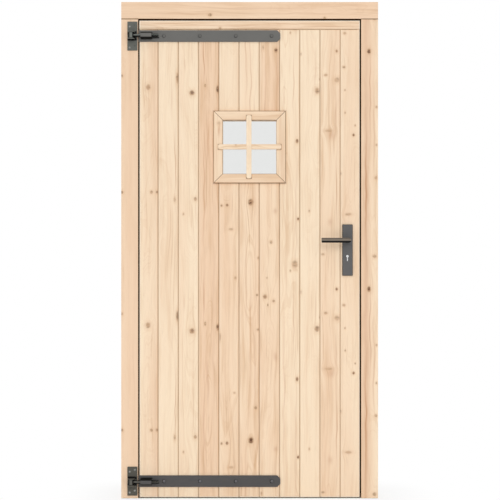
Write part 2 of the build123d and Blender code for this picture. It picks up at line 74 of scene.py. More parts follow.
# The leaf, and the frame and its opening, seen from the front
DOOR_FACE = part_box("board_01")[0].y
LEAF_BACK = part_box("top_rail")[1].y
LEAF_LEFT, LEAF_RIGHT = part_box("top_rail")[0].x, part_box("top_rail")[1].x
LEAF_FOOT, LEAF_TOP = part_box("bottom_rail")[0].z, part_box("top_rail")[1].z
LEAF_MIDDLE = ((LEAF_LEFT + LEAF_RIGHT) / 2, (LEAF_FOOT + LEAF_TOP) / 2)
LEAF_HALF = ((LEAF_RIGHT - LEAF_LEFT) / 2, (LEAF_TOP - LEAF_FOOT) / 2)
POST_FACE = 73 * MM       # width of the posts and of the head
HINGE_SIDE, LOCK_SIDE = cad_low.x + POST_FACE, cad_high.x - POST_FACE
HEAD_SIDE = cad_high.z - POST_FACE
FRAME_MIDDLE = (cad_low.x + cad_high.x) / 2
FRAME_HALF = (cad_high.x - cad_low.x) / 2
WINDOW_MIDDLE = (middle_of("front_trim").x, middle_of("front_trim").z)

# The picture's scale on the door's face, for things that were placed from it
PIXEL = 4.2818 * MM
LEFT_COLUMN = 121.2       # column of the frame's left edge
TOP_ROW = 1.9             # row of the frame's top edge
AGAIN = 1.0195            # the same timber comes again after this height
ONCE = 50.0               # a repeat so long that the knot comes once

# Camera and light
EYE = (0.5515, DOOR_FACE - 4.45, 1.0627)
LENS = 74.8
SENSOR = 36.0
AMBIENT = 0.74            # strength of the sky for the light it gives
KEY_POWER = 58.0
LOW_POWER = 2.9
BACK_POWER = 14.0


# Node trees

class Tree:
    """Builds a node tree; every call adds a node and returns the socket it gives."""

    def __init__(self, tree):
        self.tree = tree

    def node(self, kind, **settings):
        made = self.tree.nodes.new(kind)
        for key, value in settings.items():
            setattr(made, key, value)
        return made

    def put(self, socket, value):
        if isinstance(value, bpy.types.NodeSocket):
            self.tree.links.new(value, socket)
        elif value is not None:
            socket.default_value = value

    def filled(self, kind, *given, **settings):
        """Outputs of a new node whose first inputs take the given values in order."""
        made = self.node(kind, **settings)
        for socket, value in zip(made.inputs, given):
            self.put(socket, value)
        return made.outputs

    def math(self, how, a, b=None, c=None):
        return self.filled("ShaderNodeMath", a, b, c, operation=how)[0]

    def add(self, a, b):
        return self.math("ADD", a, b)

    def sub(self, a, b):
        return self.math("SUBTRACT", a, b)

    def mul(self, a, b):
        return self.math("MULTIPLY", a, b)

    def div(self, a, b):
        return self.math("DIVIDE", a, b)

    def most(self, a, b):
        return self.math("MAXIMUM", a, b)

    def size(self, a):
        return self.math("ABSOLUTE", a)

    def vary(self, noise, by):
        """Noise about 0 instead of about a half, times an amount."""
        return self.mul(self.sub(noise, 0.5), by)

    def step(self, value, low, high, to_low=0.0, to_high=1.0):
        """Smooth step of value between low and high."""
        return self.filled("ShaderNodeMapRange", value, low, high, to_low, to_high,
                           interpolation_type="SMOOTHSTEP")[0]

    def stretch(self, vector, scale):
        return self.filled("ShaderNodeVectorMath", vector, scale, operation="MULTIPLY")[0]

    def shift(self, vector, by):
        return self.filled("ShaderNodeVectorMath", vector, by, operation="ADD")[0]

    def split(self, vector):
        return self.filled("ShaderNodeSeparateXYZ", vector)

    def join(self, x, y, z):
        return self.filled("ShaderNodeCombineXYZ", x, y, z)[0]

    def noise(self, vector, detail=2.0, rough=0.5, scale=1.0, give="Fac"):
        made = self.node("ShaderNodeTexNoise")
        self.put(made.inputs["Vector"], vector)
        made.inputs["Scale"].default_value = scale
        made.inputs["Detail"].default_value = detail
        made.inputs["Roughness"].default_value = rough
        return made.outputs[give]

    def blend(self, factor, a, b, how="MIX"):
        made = self.node("ShaderNodeMix", data_type="RGBA", blend_type=how, clamp_factor=True)
        self.put(made.inputs[0], factor)
        self.put(made.inputs[6], a)
        self.put(made.inputs[7], b)
        return made.outputs[2]

    def shade(self, colour, level):
        """The colour times one level for red, green and blue."""
        return self.blend(1.0, colour, self.join(level, level, level), "MULTIPLY")

    def bump(self, height, strength, distance):
        made = self.node("ShaderNodeBump")
        made.inputs["Strength"].default_value = strength
        made.inputs["Distance"].default_value = distance
        self.put(made.inputs["Height"], height)
        return made.outputs[0]

    def group(self, other, *given):
        return self.filled("ShaderNodeGroup", *given, node_tree=other)


def group_tree(name, inputs, outputs):
    """Empty node group, all numbers but for an output called Color.

    Gives its Tree, the sockets that bring its inputs and the ones that take its outputs."""
    tree = bpy.data.node_groups.new(name, "ShaderNodeTree")
    for label in inputs:
        tree.interface.new_socket(name=label, in_out="INPUT", socket_type="NodeSocketFloat")
    for label in outputs:
        kind = "NodeSocketColor" if label == "Color" else "NodeSocketFloat"
        tree.interface.new_socket(name=label, in_out="OUTPUT", socket_type=kind)
    t = Tree(tree)
    return t, t.node("NodeGroupInput").outputs, t.node("NodeGroupOutput").inputs


def srgb(red, green, blue):
    """Linear colour with alpha, from values of 0 to 255 as a picture holds them."""
    linear = [(c / 255 / 12.92) if c < 11 else ((c / 255 + 0.055) / 1.055) ** 2.4
              for c in (red, green, blue)]
    return (*linear, 1.0)


CREAM = srgb(251, 229, 200)
PEACH = srgb(243, 211, 180)
HONEY = srgb(219, 179, 139)
RUST = srgb(203, 154, 118)
VEIN = srgb(206, 164, 124)
# Pale colour of the painted highlight along the leaf's outline and the boards' left edges
PAINTED_HIGHLIGHT = srgb(255, 241, 220)
KNOT_HEART = srgb(186, 146, 111)
KNOT_RIM = srgb(136, 100, 68)
KNOT_DARK = srgb(96, 62, 40)
# Painted shade on the slopes of joints and eased edges; the lighter VEE_LIGHT is painted light on
# slopes that face left
VEE_SHADE = (0.69, 0.64, 0.58, 1.0)
VEE_LIGHT = (0.85, 0.80, 0.74, 1.0)
ARRIS_SHADE = (0.40, 0.31, 0.23, 1.0)
# Brown of the dark joints at mitres and butt joints, and of the painted shade round pieces
JOINT_AND_SHADE_BROWN = srgb(112, 78, 50)
# Black of the oiled steel fittings, and of the painted shade and shadow on the hinges
STEEL_BLACK_AND_SHADE = srgb(5, 6, 6)


def from_nearest(t, along, middle, repeat):
    """Distance along the grain from the middle, or from the nearest of its repeats."""
    half = t.mul(repeat, 0.5)
    return t.math("WRAP", t.sub(along, middle), half, t.mul(half, -1.0))


def make_knot_group():
    """A knot seen as an ellipse in the face of a board.

    Distance is 0 in its middle and 1 at its rim. Push is how far the grain beside it is
    drawn aside: the offset from the middle, fading with the square of the distance. Mask is
    the knot's own area with a soft rim, times its strength."""
    t, given, made = group_tree(
        "knot", ("Across", "Along", "Middle across", "Middle along", "Half width", "Half height",
                 "Strength", "Repeat", "Push so far", "Mask so far", "Distance so far"),
        ("Push", "Mask", "Distance"))
    across, along, x0, z0, half_width, half_height, strength, repeat, push, mask, distance = given[:11]
    dx = t.sub(across, x0)
    u = t.div(dx, half_width)
    v = t.div(from_nearest(t, along, z0, repeat), half_height)
    square = t.add(t.mul(u, u), t.mul(v, v))
    reach = t.add(t.mul(t.mul(u, u), 0.16), t.mul(t.mul(v, v), 0.045))
    fade = t.math("EXPONENT", t.mul(reach, -1.0))
    near = t.math("SQRT", square)
    t.put(made[0], t.add(push, t.mul(t.mul(dx, fade), 0.7)))
    t.put(made[1], t.most(mask, t.mul(t.step(near, 0.55, 1.55, 1.0, 0.0), strength)))
    t.put(made[2], t.math("MINIMUM", distance, near))
    return t.tree


def make_streak_group():
    """A long soft stain along the grain: a bell curve both across and along it."""
    t, given, made = group_tree(
        "streak", ("Across", "Along", "Middle across", "Middle along", "Half width", "Half height",
                   "Strength", "Repeat", "Mask so far"),
        ("Mask",))
    across, along, x0, z0, half_width, half_height, strength, repeat, mask = given[:9]
    u = t.div(t.sub(across, x0), half_width)
    v = t.div(from_nearest(t, along, z0, repeat), half_height)
    bell = t.math("EXPONENT", t.mul(t.add(t.mul(u, u), t.mul(v, v)), -1.0))
    t.put(made[0], t.add(mask, t.mul(bell, strength)))
    return t.tree


def make_pine_group():
    """Planed softwood around a pith that runs beside the board.

    Rings are the distance from the pith, swayed by slow noise along the grain, cut into years
    of uneven width. Each year goes from pale early wood to a narrow darker late band, and the
    rings widen with height by the taper, which draws pointed arches on a board's face. Broad
    streaks, veins, fibre, resin flecks and a slow drift of hue lie over the rings."""
    t, given, made = group_tree(
        "pine", ("Across", "Depth", "Along", "Pith across", "Pith depth", "Ring width", "Taper",
                 "Seed", "Warmth", "Contrast", "Push", "Knot mask", "Knot distance", "Stain"),
        ("Color", "Roughness", "Height"))
    (across, depth, along, pith_x, pith_y, ring_width, taper, seed, warmth, contrast, push,
     knot_mask, knot_distance, stain) = given[:14]
    bent = t.sub(across, push)
    here = t.shift(t.join(bent, depth, along), t.join(seed, t.mul(seed, 1.7), t.mul(seed, 0.6)))
    sway = t.split(t.noise(t.stretch(here, (5.0, 5.0, 1.3)), 2.0, give="Color"))
    ripple = t.noise(t.stretch(here, (34.0, 34.0, 6.0)), 1.0)
    dx = t.add(t.sub(bent, pith_x), t.vary(sway[0], 0.060))
    dy = t.add(t.sub(depth, pith_y), t.vary(sway[1], 0.055))
    radius = t.math("SQRT", t.add(t.mul(dx, dx), t.mul(dy, dy)))
    radius = t.add(radius, t.vary(ripple, 0.0055))
    radius = t.add(radius, t.mul(along, taper))
    rings = t.div(radius, ring_width)
    uneven = t.node("ShaderNodeTexNoise", noise_dimensions="1D")
    t.put(uneven.inputs["W"], t.mul(t.add(rings, seed), 0.37))
    uneven.inputs["Detail"].default_value = 1.0
    rings = t.add(rings, t.mul(uneven.outputs["Fac"], 2.2))
    part = t.math("FRACT", rings)
    year = t.node("ShaderNodeTexWhiteNoise", noise_dimensions="1D")
    t.put(year.inputs["W"], t.math("FLOOR", rings))
    late = t.mul(t.step(part, 0.30, 0.86), t.step(part, 0.90, 1.0, 1.0, 0.0))
    strong = t.mul(year.outputs["Value"], year.outputs["Value"])
    late = t.mul(late, t.add(t.mul(strong, 0.85), 0.15))
    swung = t.shift(here, t.join(t.vary(sway[0], 0.07), 0.0, 0.0))
    long_streak = t.noise(t.stretch(swung, (70.0, 40.0, 1.4)), 3.0, 0.6)
    flame = t.noise(t.stretch(swung, (34.0, 30.0, 4.2)), 2.0, 0.55)
    vein = t.noise(t.stretch(swung, (230.0, 120.0, 2.6)), 2.0, 0.55)
    vein = t.mul(t.step(vein, 0.56, 0.70), t.step(flame, 0.40, 0.58))
    broad = t.add(t.mul(long_streak, 0.6), t.mul(flame, 0.4))
    drift = t.noise(t.stretch(here, (14.0, 14.0, 1.1)), 2.0)
    fibre = t.noise(t.stretch(here, (1500.0, 1500.0, 26.0)), 2.0, 0.6)
    fleck = t.noise(t.stretch(here, (520.0, 520.0, 14.0)), 1.0)
    fleck = t.step(fleck, 0.66, 0.78)

    warm = t.add(warmth, t.vary(drift, 1.5))
    colour = t.blend(warm, CREAM, PEACH)
    dark = t.add(t.mul(t.step(broad, 0.42, 0.72), 0.62), t.mul(late, 0.42))
    dark = t.mul(dark, contrast)
    colour = t.blend(dark, colour, HONEY)
    colour = t.blend(t.mul(t.mul(vein, 0.55), contrast), colour, VEIN)
    colour = t.blend(stain, colour, RUST)
    fine = t.add(t.vary(fibre, 0.13), 1.0)
    fine = t.sub(fine, t.mul(fleck, 0.08))
    colour = t.shade(colour, fine)

    patchy = t.noise(t.stretch(here, (170.0, 170.0, 110.0)), 2.0, 0.6)
    ragged = t.add(knot_distance, t.vary(patchy, 1.5))
    halo = t.step(ragged, 0.6, 3.0, 0.34, 0.0)
    colour = t.blend(halo, colour, HONEY)
    elsewhere = t.shift(t.stretch(here, (125.0, 125.0, 105.0)), (3.1, 0.0, 7.7))
    blotch = t.noise(elsewhere, 1.0)
    heart = t.blend(t.step(blotch, 0.49, 0.60), KNOT_HEART, KNOT_RIM)
    spot = t.mul(t.step(ragged, 0.10, 0.75, 1.0, 0.0), t.step(knot_mask, 0.55, 0.95))
    heart = t.blend(spot, heart, KNOT_DARK)
    colour = t.blend(t.mul(knot_mask, t.step(ragged, 0.75, 1.5, 1.0, 0.25)), colour, heart)
    t.put(made[0], colour)
    rough = t.sub(t.add(0.60, t.mul(fibre, 0.10)), t.add(t.mul(late, 0.06), t.mul(knot_mask, 0.16)))
    t.put(made[1], rough)
    relief = t.add(t.mul(fibre, 0.55), t.add(t.mul(late, 0.30), t.mul(knot_mask, 0.35)))
    t.put(made[2], relief)
    return t.tree


KNOT_GROUP = make_knot_group()
STREAK_GROUP = make_streak_group()
PINE_GROUP = make_pine_group()


def surface(name):
    """New material: its Tree, its surface shader and the object's own coordinates."""
    material = bpy.data.materials.new(name)
    material.use_nodes = True
    t = Tree(material.node_tree)
    shader = material.node_tree.nodes["Principled BSDF"]
    place = t.node("ShaderNodeTexCoord").outputs
    return material, t, shader, place


def coat(t, shader, colour, rough, normal, gloss=None):
    """Puts the colour, roughness and normal on a shader, and its specular level if given."""
    t.put(shader.inputs["Base Color"], colour)
    t.put(shader.inputs["Roughness"], rough)
    t.put(shader.inputs["Normal"], normal)
    if gloss is not None:
        shader.inputs["Specular IOR Level"].default_value = gloss


def from_picture(column, row, grain):
    """Places across and along the grain, in metres, of a column and row of the picture."""
    x = (column - LEFT_COLUMN) * PIXEL
    z = cad_high.z - (row - TOP_ROW) * PIXEL
    return (x, z) if grain == "z" else (z, x)


def outside(t, x, z, middle, half):
    """How far a place lies outside a rectangle about the middle; less than 0 inside it."""
    wide = t.sub(t.size(t.sub(x, middle[0])), half[0])
    high = t.sub(t.size(t.sub(z, middle[1])), half[1])
    return t.most(wide, high)


def mitred_grain(t, x, z, middle):
    """Grain of a square ring about the middle, whose four sides meet in mitres.

    Gives the places across and along each side's own grain, told apart by a shift for every
    side, and the darkness of the mitres."""
    dx, dz = t.sub(x, middle[0]), t.sub(z, middle[1])
    wide, high = t.size(dx), t.size(dz)
    upright = t.math("GREATER_THAN", wide, high)
    level = t.sub(1.0, upright)
    across = t.add(t.mul(x, upright), t.mul(z, level))
    along = t.add(t.mul(z, upright), t.mul(x, level))
    side = t.add(t.mul(t.math("SIGN", dx), upright), t.mul(t.math("SIGN", dz), level))
    along = t.add(along, t.add(t.mul(side, 0.83), t.mul(upright, 2.1)))
    joint = t.step(t.size(t.sub(wide, high)), 0.7 * MM, 2.1 * MM, 0.88, 0.0)
    return across, along, joint


def butt_joint(t, x, z, seam):
    """Darkness of a level joint at a height, to the left of one corner and right of the other."""
    level, left, right = seam
    line = t.step(t.sub(z, level), 1.6 * MM, 3.2 * MM, 0.62, 0.0)
    beside = t.most(t.math("LESS_THAN", x, left), t.math("GREATER_THAN", x, right))
    return t.mul(line, beside)


def painted_edge_highlight(t, x, z, left_edge):
    """Painted highlight along the leaf's outline and along the left edge of a piece."""
    over = outside(t, x, z, LEAF_MIDDLE, LEAF_HALF)
    outline = t.step(over, -3.8 * MM, -1.6 * MM, 0.0, 0.8)
    return t.most(outline, t.step(t.sub(x, left_edge), 2.6 * MM, 6.6 * MM, 0.5, 0.0))


def painted_contact_shade(t, place, colour, rims):
    """Paints shade in brown round rectangles laid on the wood or cut in it.

    Each rim holds the middle and half size of its rectangle, its darkness and its reach. The
    painted shade stays on the front few millimetres, so a post's inner face is clean."""
    x, y, z = place
    in_front = t.step(y, DOOR_FACE + 2.0 * MM, DOOR_FACE + 4.5 * MM, 1.0, 0.0)
    for middle, half, shadow, reach in rims:
        rim = t.step(outside(t, x, z, middle, half), 0.2 * MM, reach, shadow, 0.0)
        colour = t.blend(t.mul(rim, in_front), colour, JOINT_AND_SHADE_BROWN)
    return colour


def joint_slopes(t, colour, normal, x, tint, lit):
    """Painted shade on the slopes of a joint, which face half sideways or half up and half out.

    Where they face left they have the lighter tint lit instead, as painted light, if there is one,
    and then the leaf's outer edges are left alone."""
    facing = t.size(t.split(normal)[1])
    slope = t.mul(t.step(facing, 0.35, 0.60), t.step(facing, 0.80, 0.93, 1.0, 0.0))
    if lit:
        tint = t.blend(t.step(t.split(normal)[0], -0.45, -0.15), lit, tint)
        aside = t.size(t.sub(x, LEAF_MIDDLE[0]))
        slope = t.mul(slope, t.math("LESS_THAN", aside, LEAF_HALF[0] - 10 * MM))
    return t.blend(1.0, colour, t.blend(slope, (1, 1, 1, 1), tint), "MULTIPLY")


KNOT_SCALE = 1.3                # a knot is drawn this much larger than its given size
ABOVE_WINDOW = (1.38, 1.62)     # a board changes its look between these heights


def pine(name, pith, ring, seed, warmth, contrast, grain="z", knots=(), streaks=(), tilt=0.0,
         mitred=None, vee=None, lit=None, taper=0.012, lean=0.0, seam=None, rims=(), upper=None,
         shallow=False, highlight_edge=None):
    """Pine with its grain along z, along x, or turned by tilt from x.

    pith is where the tree's middle runs, across the grain and in depth, and ring is a year's
    width in mm. knots and streaks are (column, row, half width mm, half height mm, strength,
    repeat); shallow knots end inside the piece instead of going through it. upper is the
    warmth and contrast that a board has above the window, and lean is how the warmth grows
    across the piece, per metre. mitred and seam are what mitred_grain and butt_joint take; rims
    are the rectangles with painted shade round them, vee with lit the painted shade and lighter
    painted light on the slopes of joints, and the last argument the left edge of a painted highlight."""
    material, t, shader, place = surface(name)
    here = place["Object"]
    if tilt:
        turned = t.node("ShaderNodeMapping")
        t.put(turned.inputs["Vector"], here)
        turned.inputs["Rotation"].default_value = (0.0, tilt, 0.0)
        here = turned.outputs[0]
    x, y, z = t.split(here)
    across, along = (x, z) if grain == "z" else (z, x)
    knot_across, knot_along = across, along
    if mitred:
        across, along, mitres = mitred_grain(t, x, z, mitred)
    if upper:
        above = t.step(z, *ABOVE_WINDOW)
        warmth = t.add(t.mul(above, upper[0] - warmth), warmth)
        contrast = t.add(t.mul(above, upper[1] - contrast), contrast)
    if lean:
        warmth = t.add(t.mul(t.sub(across, pith[0]), lean), warmth)
    push, mask, distance, stain = 0.0, 0.0, 9.0, 0.0
    for column, row, half_width, half_height, strength, repeat in knots:
        push, mask, distance = t.group(
            KNOT_GROUP, knot_across, knot_along, *from_picture(column, row, grain),
            KNOT_SCALE * half_width * MM, KNOT_SCALE * half_height * MM, strength, repeat,
            push, mask, distance)[:3]
    if shallow:
        deep = t.step(y, DOOR_FACE + 8 * MM, DOOR_FACE + 34 * MM)
        mask = t.mul(mask, t.sub(1.0, deep))
        distance = t.add(distance, t.mul(deep, 4.0))
    if streaks:
        slow = t.noise(t.stretch(t.join(0.0, seed, along), (1.0, 1.0, 7.5)), 1.0)
        wavy = t.add(knot_across, t.vary(slow, 20 * MM))
        for column, row, half_width, half_height, strength, repeat in streaks:
            stain = t.group(
                STREAK_GROUP, wavy, knot_along, *from_picture(column, row, grain),
                half_width * MM, half_height * MM, strength, repeat, stain)[0]
    colour, rough, relief = t.group(
        PINE_GROUP, across, y, along, *pith, ring * MM, taper, seed, warmth, contrast,
        push, mask, distance, stain)[:3]
    if mitred:
        colour = t.blend(mitres, colour, JOINT_AND_SHADE_BROWN)
    if seam:
        colour = t.blend(butt_joint(t, x, z, seam), colour, JOINT_AND_SHADE_BROWN)
    # painted highlight along the leaf's outline and along this piece's left edge
    if highlight_edge is not None:
        colour = t.blend(painted_edge_highlight(t, x, z, highlight_edge), colour, PAINTED_HIGHLIGHT)
    # painted shade round the rectangles of the rims
    if rims:
        colour = painted_contact_shade(t, (x, y, z), colour, rims)
    # painted shade on joint slopes and eased edges, lighter painted light where they face left
    if vee:
        colour = joint_slopes(t, colour, place["Normal"], x, vee, lit)
    coat(t, shader, colour, rough, t.bump(relief, 0.35, 0.25 * MM), gloss=0.3)
    return material


def painted_steel(name, colour, raised, rough=0.5, shadow_bands=(), shade_colour=STEEL_BLACK_AND_SHADE, lit_side=0.0,
                  lugs=False):
    """Powder-coated steel: fine orange peel, faint clouding, and a few dust-sized specks.

    Whatever stands out further than raised has painted shade in the shade colour where it doesn't
    face straight out, less so by lit_side where it faces right and up, or with lugs only where it
    faces up or down. The shadow bands are the left, right, low and high sides of bands of painted
    shadow in black."""
    material, t, shader, place = surface(name)
    here = place["Object"]
    x, y, z = t.split(here)
    aside, out, up = t.split(place["Normal"])
    if lugs:
        facing = t.math("SQRT", t.most(t.sub(1.0, t.mul(up, up)), 0.0))
    else:
        facing = t.add(t.size(out), t.mul(t.add(aside, t.mul(up, 0.7)), lit_side))
    stands = t.step(y, raised - 0.8 * MM, raised - 0.2 * MM, 1.0, 0.0)
    # painted shade on what stands out, where it turns away from the front
    colour = t.blend(t.mul(stands, t.step(facing, 0.76, 0.89, 1.0, 0.0)), colour, shade_colour)
    # bands of painted shadow in black
    for left, right, low, high in shadow_bands:
        wide = t.most(t.sub(left, x), t.sub(x, right))
        tall = t.most(t.sub(low, z), t.sub(z, high))
        across_band = t.step(wide, -1.5 * MM, 3.0 * MM, 1.0, 0.0)
        band = t.mul(across_band, t.step(tall, -1.0 * MM, 2.0 * MM, 1.0, 0.0))
        if lugs:
            band = t.mul(band, t.sub(1.0, stands))
        colour = t.blend(band, colour, STEEL_BLACK_AND_SHADE)
    cloud = t.noise(here, 3.0, 0.6, 9.0)
    grit = t.noise(here, 2.0, 0.7, 900.0)
    peel = t.noise(here, 1.0, 0.5, 420.0)
    level = t.add(t.vary(cloud, 0.22), t.add(t.vary(grit, 0.20), 1.0))
    relief = t.add(t.mul(peel, 0.7), t.mul(grit, 0.3))
    coat(t, shader, t.shade(colour, level), t.add(rough - 0.06, t.mul(cloud, 0.12)),
         t.bump(relief, 0.30, 0.12 * MM), gloss=0.12)
    return material


def blackened_steel(name, black, highlight_colour):
    """Oiled black steel with a painted highlight on the side that faces out of the wall.

    The highlight follows the surface's own direction: nothing where it faces up, down or sideways,
    all of it where it faces straight out, less of it on the lower half and where it turns
    sideways, broken up by noise."""
    material, t, shader, place = surface(name)
    aside, out, up = t.split(place["Normal"])
    under = t.most(t.mul(up, -1.0), 0.0)
    facing = t.add(t.size(out), t.mul(under, -0.70))
    facing = t.sub(facing, t.mul(t.size(aside), 0.20))
    patch = t.noise(place["Object"], 3.0, 0.65, 160.0)
    # painted highlight where it faces out
    highlight_share = t.step(t.add(facing, t.vary(patch, 0.12)), 0.66, 0.90)
    rough = t.add(t.mul(patch, 0.22), t.add(0.46, t.mul(highlight_share, -0.06)))
    coat(t, shader, t.blend(highlight_share, black, highlight_colour), rough, t.bump(patch, 0.25, 0.15 * MM), gloss=0.14)
    return material


def satin_metal(name, colour, under, brushed, rough=0.4, edge=0.0, front_highlight=0.0):
    """Dark satin metal with fine brushing along one axis, with painted shade in the under colour on
    its underside, and on its eased edges by the amount of edge; a painted highlight makes it paler
    in front than on top."""
    material, t, shader, place = surface(name)
    _, out, up = t.split(place["Normal"])
    lines = t.noise(t.stretch(place["Object"], brushed), 2.0, 0.7)
    cloud = t.noise(place["Object"], 2.0, 0.5, 14.0)
    # painted shade in the under colour on the underside and the eased edges
    down = t.step(up, -0.24, -0.10, 1.0, 0.0)
    if edge:
        down = t.most(down, t.step(t.size(out), 0.80, 0.95, edge, 0.0))
    level = t.add(t.vary(lines, 0.22), t.add(t.vary(cloud, 0.12), 1.0))
    # painted highlight in front, painted shade on top
    if front_highlight:
        level = t.mul(level, t.step(up, -0.15, 0.85, 1.0 + front_highlight, 1.0 - front_highlight))
    colour = t.shade(t.blend(down, colour, under), level)
    coat(t, shader, colour, t.add(rough - 0.08, t.mul(lines, 0.16)),
         t.bump(lines, 0.2, 0.05 * MM), gloss=0.18)
    return material


def zinc(name, colour, rough=0.38):
    """Zinc-plated steel: bright, with a crystalline mottle and a haze that dulls it in patches."""
    material, t, shader, place = surface(name)
    grain = t.node("ShaderNodeTexVoronoi")
    t.put(grain.inputs["Vector"], place["Object"])
    grain.inputs["Scale"].default_value = 380.0
    tint = t.split(grain.outputs["Color"])[0]
    haze = t.noise(place["Object"], 3.0, 0.6, 55.0)
    level = t.add(t.vary(tint, 0.16), t.add(t.vary(haze, 0.3), 1.0))
    coat(t, shader, t.shade(colour, level), t.add(rough, t.mul(haze, 0.2)),
         t.bump(haze, 0.15, 0.08 * MM))
    shader.inputs["Metallic"].default_value = 0.85
    return material


def dark_rubber(name):
    """Brown-black rubber: matt, with a faint grain and a bloom of dust."""
    material, t, shader, place = surface(name)
    grain = t.noise(place["Object"], 2.0, 0.6, 1100.0)
    bloom = t.noise(place["Object"], 3.0, 0.6, 26.0)
    coat(t, shader, t.blend(t.mul(bloom, 0.5), srgb(28, 13, 2), srgb(46, 26, 9)),
         t.add(0.7, t.mul(grain, 0.15)), t.bump(grain, 0.2, 0.05 * MM), gloss=0.04)
    return material


def pane_glass(name):
    """Clear float glass with a trace of grey, a slow roll in the surface and a little dust."""
    material, t, shader, place = surface(name)
    roll = t.noise(place["Object"], 1.0, 0.4, 7.0)
    dust = t.noise(place["Object"], 4.0, 0.7, 60.0)
    film = t.step(dust, 0.45, 0.9, 0.0, 0.05)
    coat(t, shader, t.blend(film, srgb(229, 230, 229), srgb(206, 206, 202)),
         t.add(0.01, t.mul(film, 0.5)), t.bump(roll, 0.05, 0.4 * MM))
    shader.inputs["IOR"].default_value = 1.45
    shader.inputs["Transmission Weight"].default_value = 1.0
    return material


# Surfaces

def grid_mesh(name, grids, material, closed=True):
    """Mesh over a stack of point grids, shaped (count, rows, columns, 3).

    Every four neighbouring points of a grid make a face, and the last column joins the first.
    Rows that shrink to a point close into a pole when doubles are merged. A closed shell has
    its faces turned outwards."""
    count, rows, columns = grids.shape[:3]
    index = np.arange(count * rows * columns).reshape(count, rows, columns)
    index = np.concatenate([index, index[:, :, :1]], axis=2)
    faces = np.stack([index[:, :-1, :-1], index[:, :-1, 1:], index[:, 1:, 1:], index[:, 1:, :-1]],
                     axis=-1).reshape(-1, 4)
    mesh = bpy.data.meshes.new(name)
    mesh.from_pydata(grids.reshape(-1, 3).tolist(), [], faces.tolist())
    shell = bmesh.new()
    shell.from_mesh(mesh)
    bmesh.ops.remove_doubles(shell, verts=shell.verts, dist=1e-6)
    if closed:
        bmesh.ops.recalc_face_normals(shell, faces=shell.faces)
    shell.to_mesh(mesh)
    shell.free()
    mesh.materials.append(material)
    return mesh


def put_in_scene(name, data):
    """New object in the scene, at the origin."""
    made = bpy.data.objects.new(name, data)
    bpy.context.scene.collection.objects.link(made)
    return made


def skin(name, grids, body, material, sharp):
    """Smooth closed piece over a stack of point grids, creased where it turns by more than sharp."""
    mesh = grid_mesh(name, grids, material)
    mesh.polygons.foreach_set("use_smooth", np.ones(len(mesh.polygons), bool))
    mesh.set_sharp_from_angle(angle=math.radians(sharp))
    made = put_in_scene(name, mesh)
    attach(made, body)


def frame_of(axis):
    """The axis as a unit vector and two unit vectors square to it."""
    axis = np.array(axis, float)
    side = np.array((0.0, 0.0, 1.0)) if abs(axis[2]) < 0.9 else np.array((1.0, 0.0, 0.0))
    first = np.cross(side, axis)
    first /= np.linalg.norm(first)
    return axis, first, np.cross(axis, first)


def around(places, axis, radius, height):
    """The same shape at every place: each row of points is a ring about the axis, at its
    height along it and with its radius at each angle."""
    axis, first, second = frame_of(axis)
    radius, height = np.broadcast_arrays(radius, height)
    angle = np.linspace(0, TAU, radius.shape[1], endpoint=False)
    ring = np.cos(angle)[:, None] * first + np.sin(angle)[:, None] * second
    shape = radius[..., None] * ring + height[..., None] * axis
    return np.array(places, float)[:, None, None, :] + shape[None]


def profile(points, columns):
    """Radius and height columns of a turned outline, the same at every angle."""
    points = np.array(points, float) * MM
    ones = np.ones(columns)
    return points[:, :1] * ones, points[:, 1:] * ones


def washer(bore, radius, thickness, edge, columns=40):
    """Flat washer with its outer edges eased, turned from an outline that closes at the bore."""
    return profile([(bore, 0), (radius - edge, 0), (radius, edge), (radius, thickness - edge),
                    (radius - edge, thickness), (bore, thickness), (bore, 0)], columns)


def domed_head(radius, rise, columns=40, rows=14, rim=0.5):
    """Coach-bolt head: a quarter of an ellipse turned round its middle, over a short upright
    rim, closed flat underneath."""
    t = np.linspace(0, 1, rows) * math.pi / 2
    cap = np.stack([radius * np.sin(t), rim + (rise - rim) * np.cos(t)], axis=1)
    return profile(np.concatenate([cap, [(radius, 0.0), (0.0, 0.0)]]), columns)


def cross_head(radius, rise, recess, columns=48, rows=16, skirt=0.2):
    """Low dome with a cross let into it.

    The dome's height falls with the square of the radius. The cross is a hollow whose depth
    fades where the smaller of a point's two offsets leaves the slot and where the larger leaves
    the arm. The skirt goes down into what the screw holds."""
    r = np.linspace(0, 1, rows)[:, None] * np.ones(columns)
    angle = np.linspace(0, TAU, columns, endpoint=False)
    x, y = np.abs(r * np.cos(angle)), np.abs(r * np.sin(angle))
    slot = np.clip((0.17 - np.minimum(x, y)) / 0.06, 0, 1)
    arm = np.clip((0.62 - np.maximum(x, y)) / 0.14, 0, 1)
    height = rise * (1 - 0.75 * r ** 2) - recess * slot * arm
    foot = np.full((1, columns), -skirt)
    radii = np.concatenate([r * radius, np.full((1, columns), radius), np.zeros((1, columns))]) * MM
    heights = np.concatenate([height, foot, foot]) * MM
    return radii, heights


def hexagon(flats, tall, columns=72, rim=0.5):
    """Nut: the radius at each angle is that of a hexagon, capped near both ends by a cone
    that rounds its corners."""
    angle = np.linspace(0, TAU, columns, endpoint=False)
    half = flats / 2
    six = half / np.cos((angle + math.pi / 6) % (math.pi / 3) - math.pi / 6)
    heights = np.array([0, 0, rim, tall - rim, tall, tall])
    cap = np.array([0, half * 0.98, half * 1.16, half * 1.16, half * 0.98, 0])
    radii = np.minimum(six[None, :], cap[:, None])
    return radii * MM, heights[:, None] * np.ones(columns) * MM


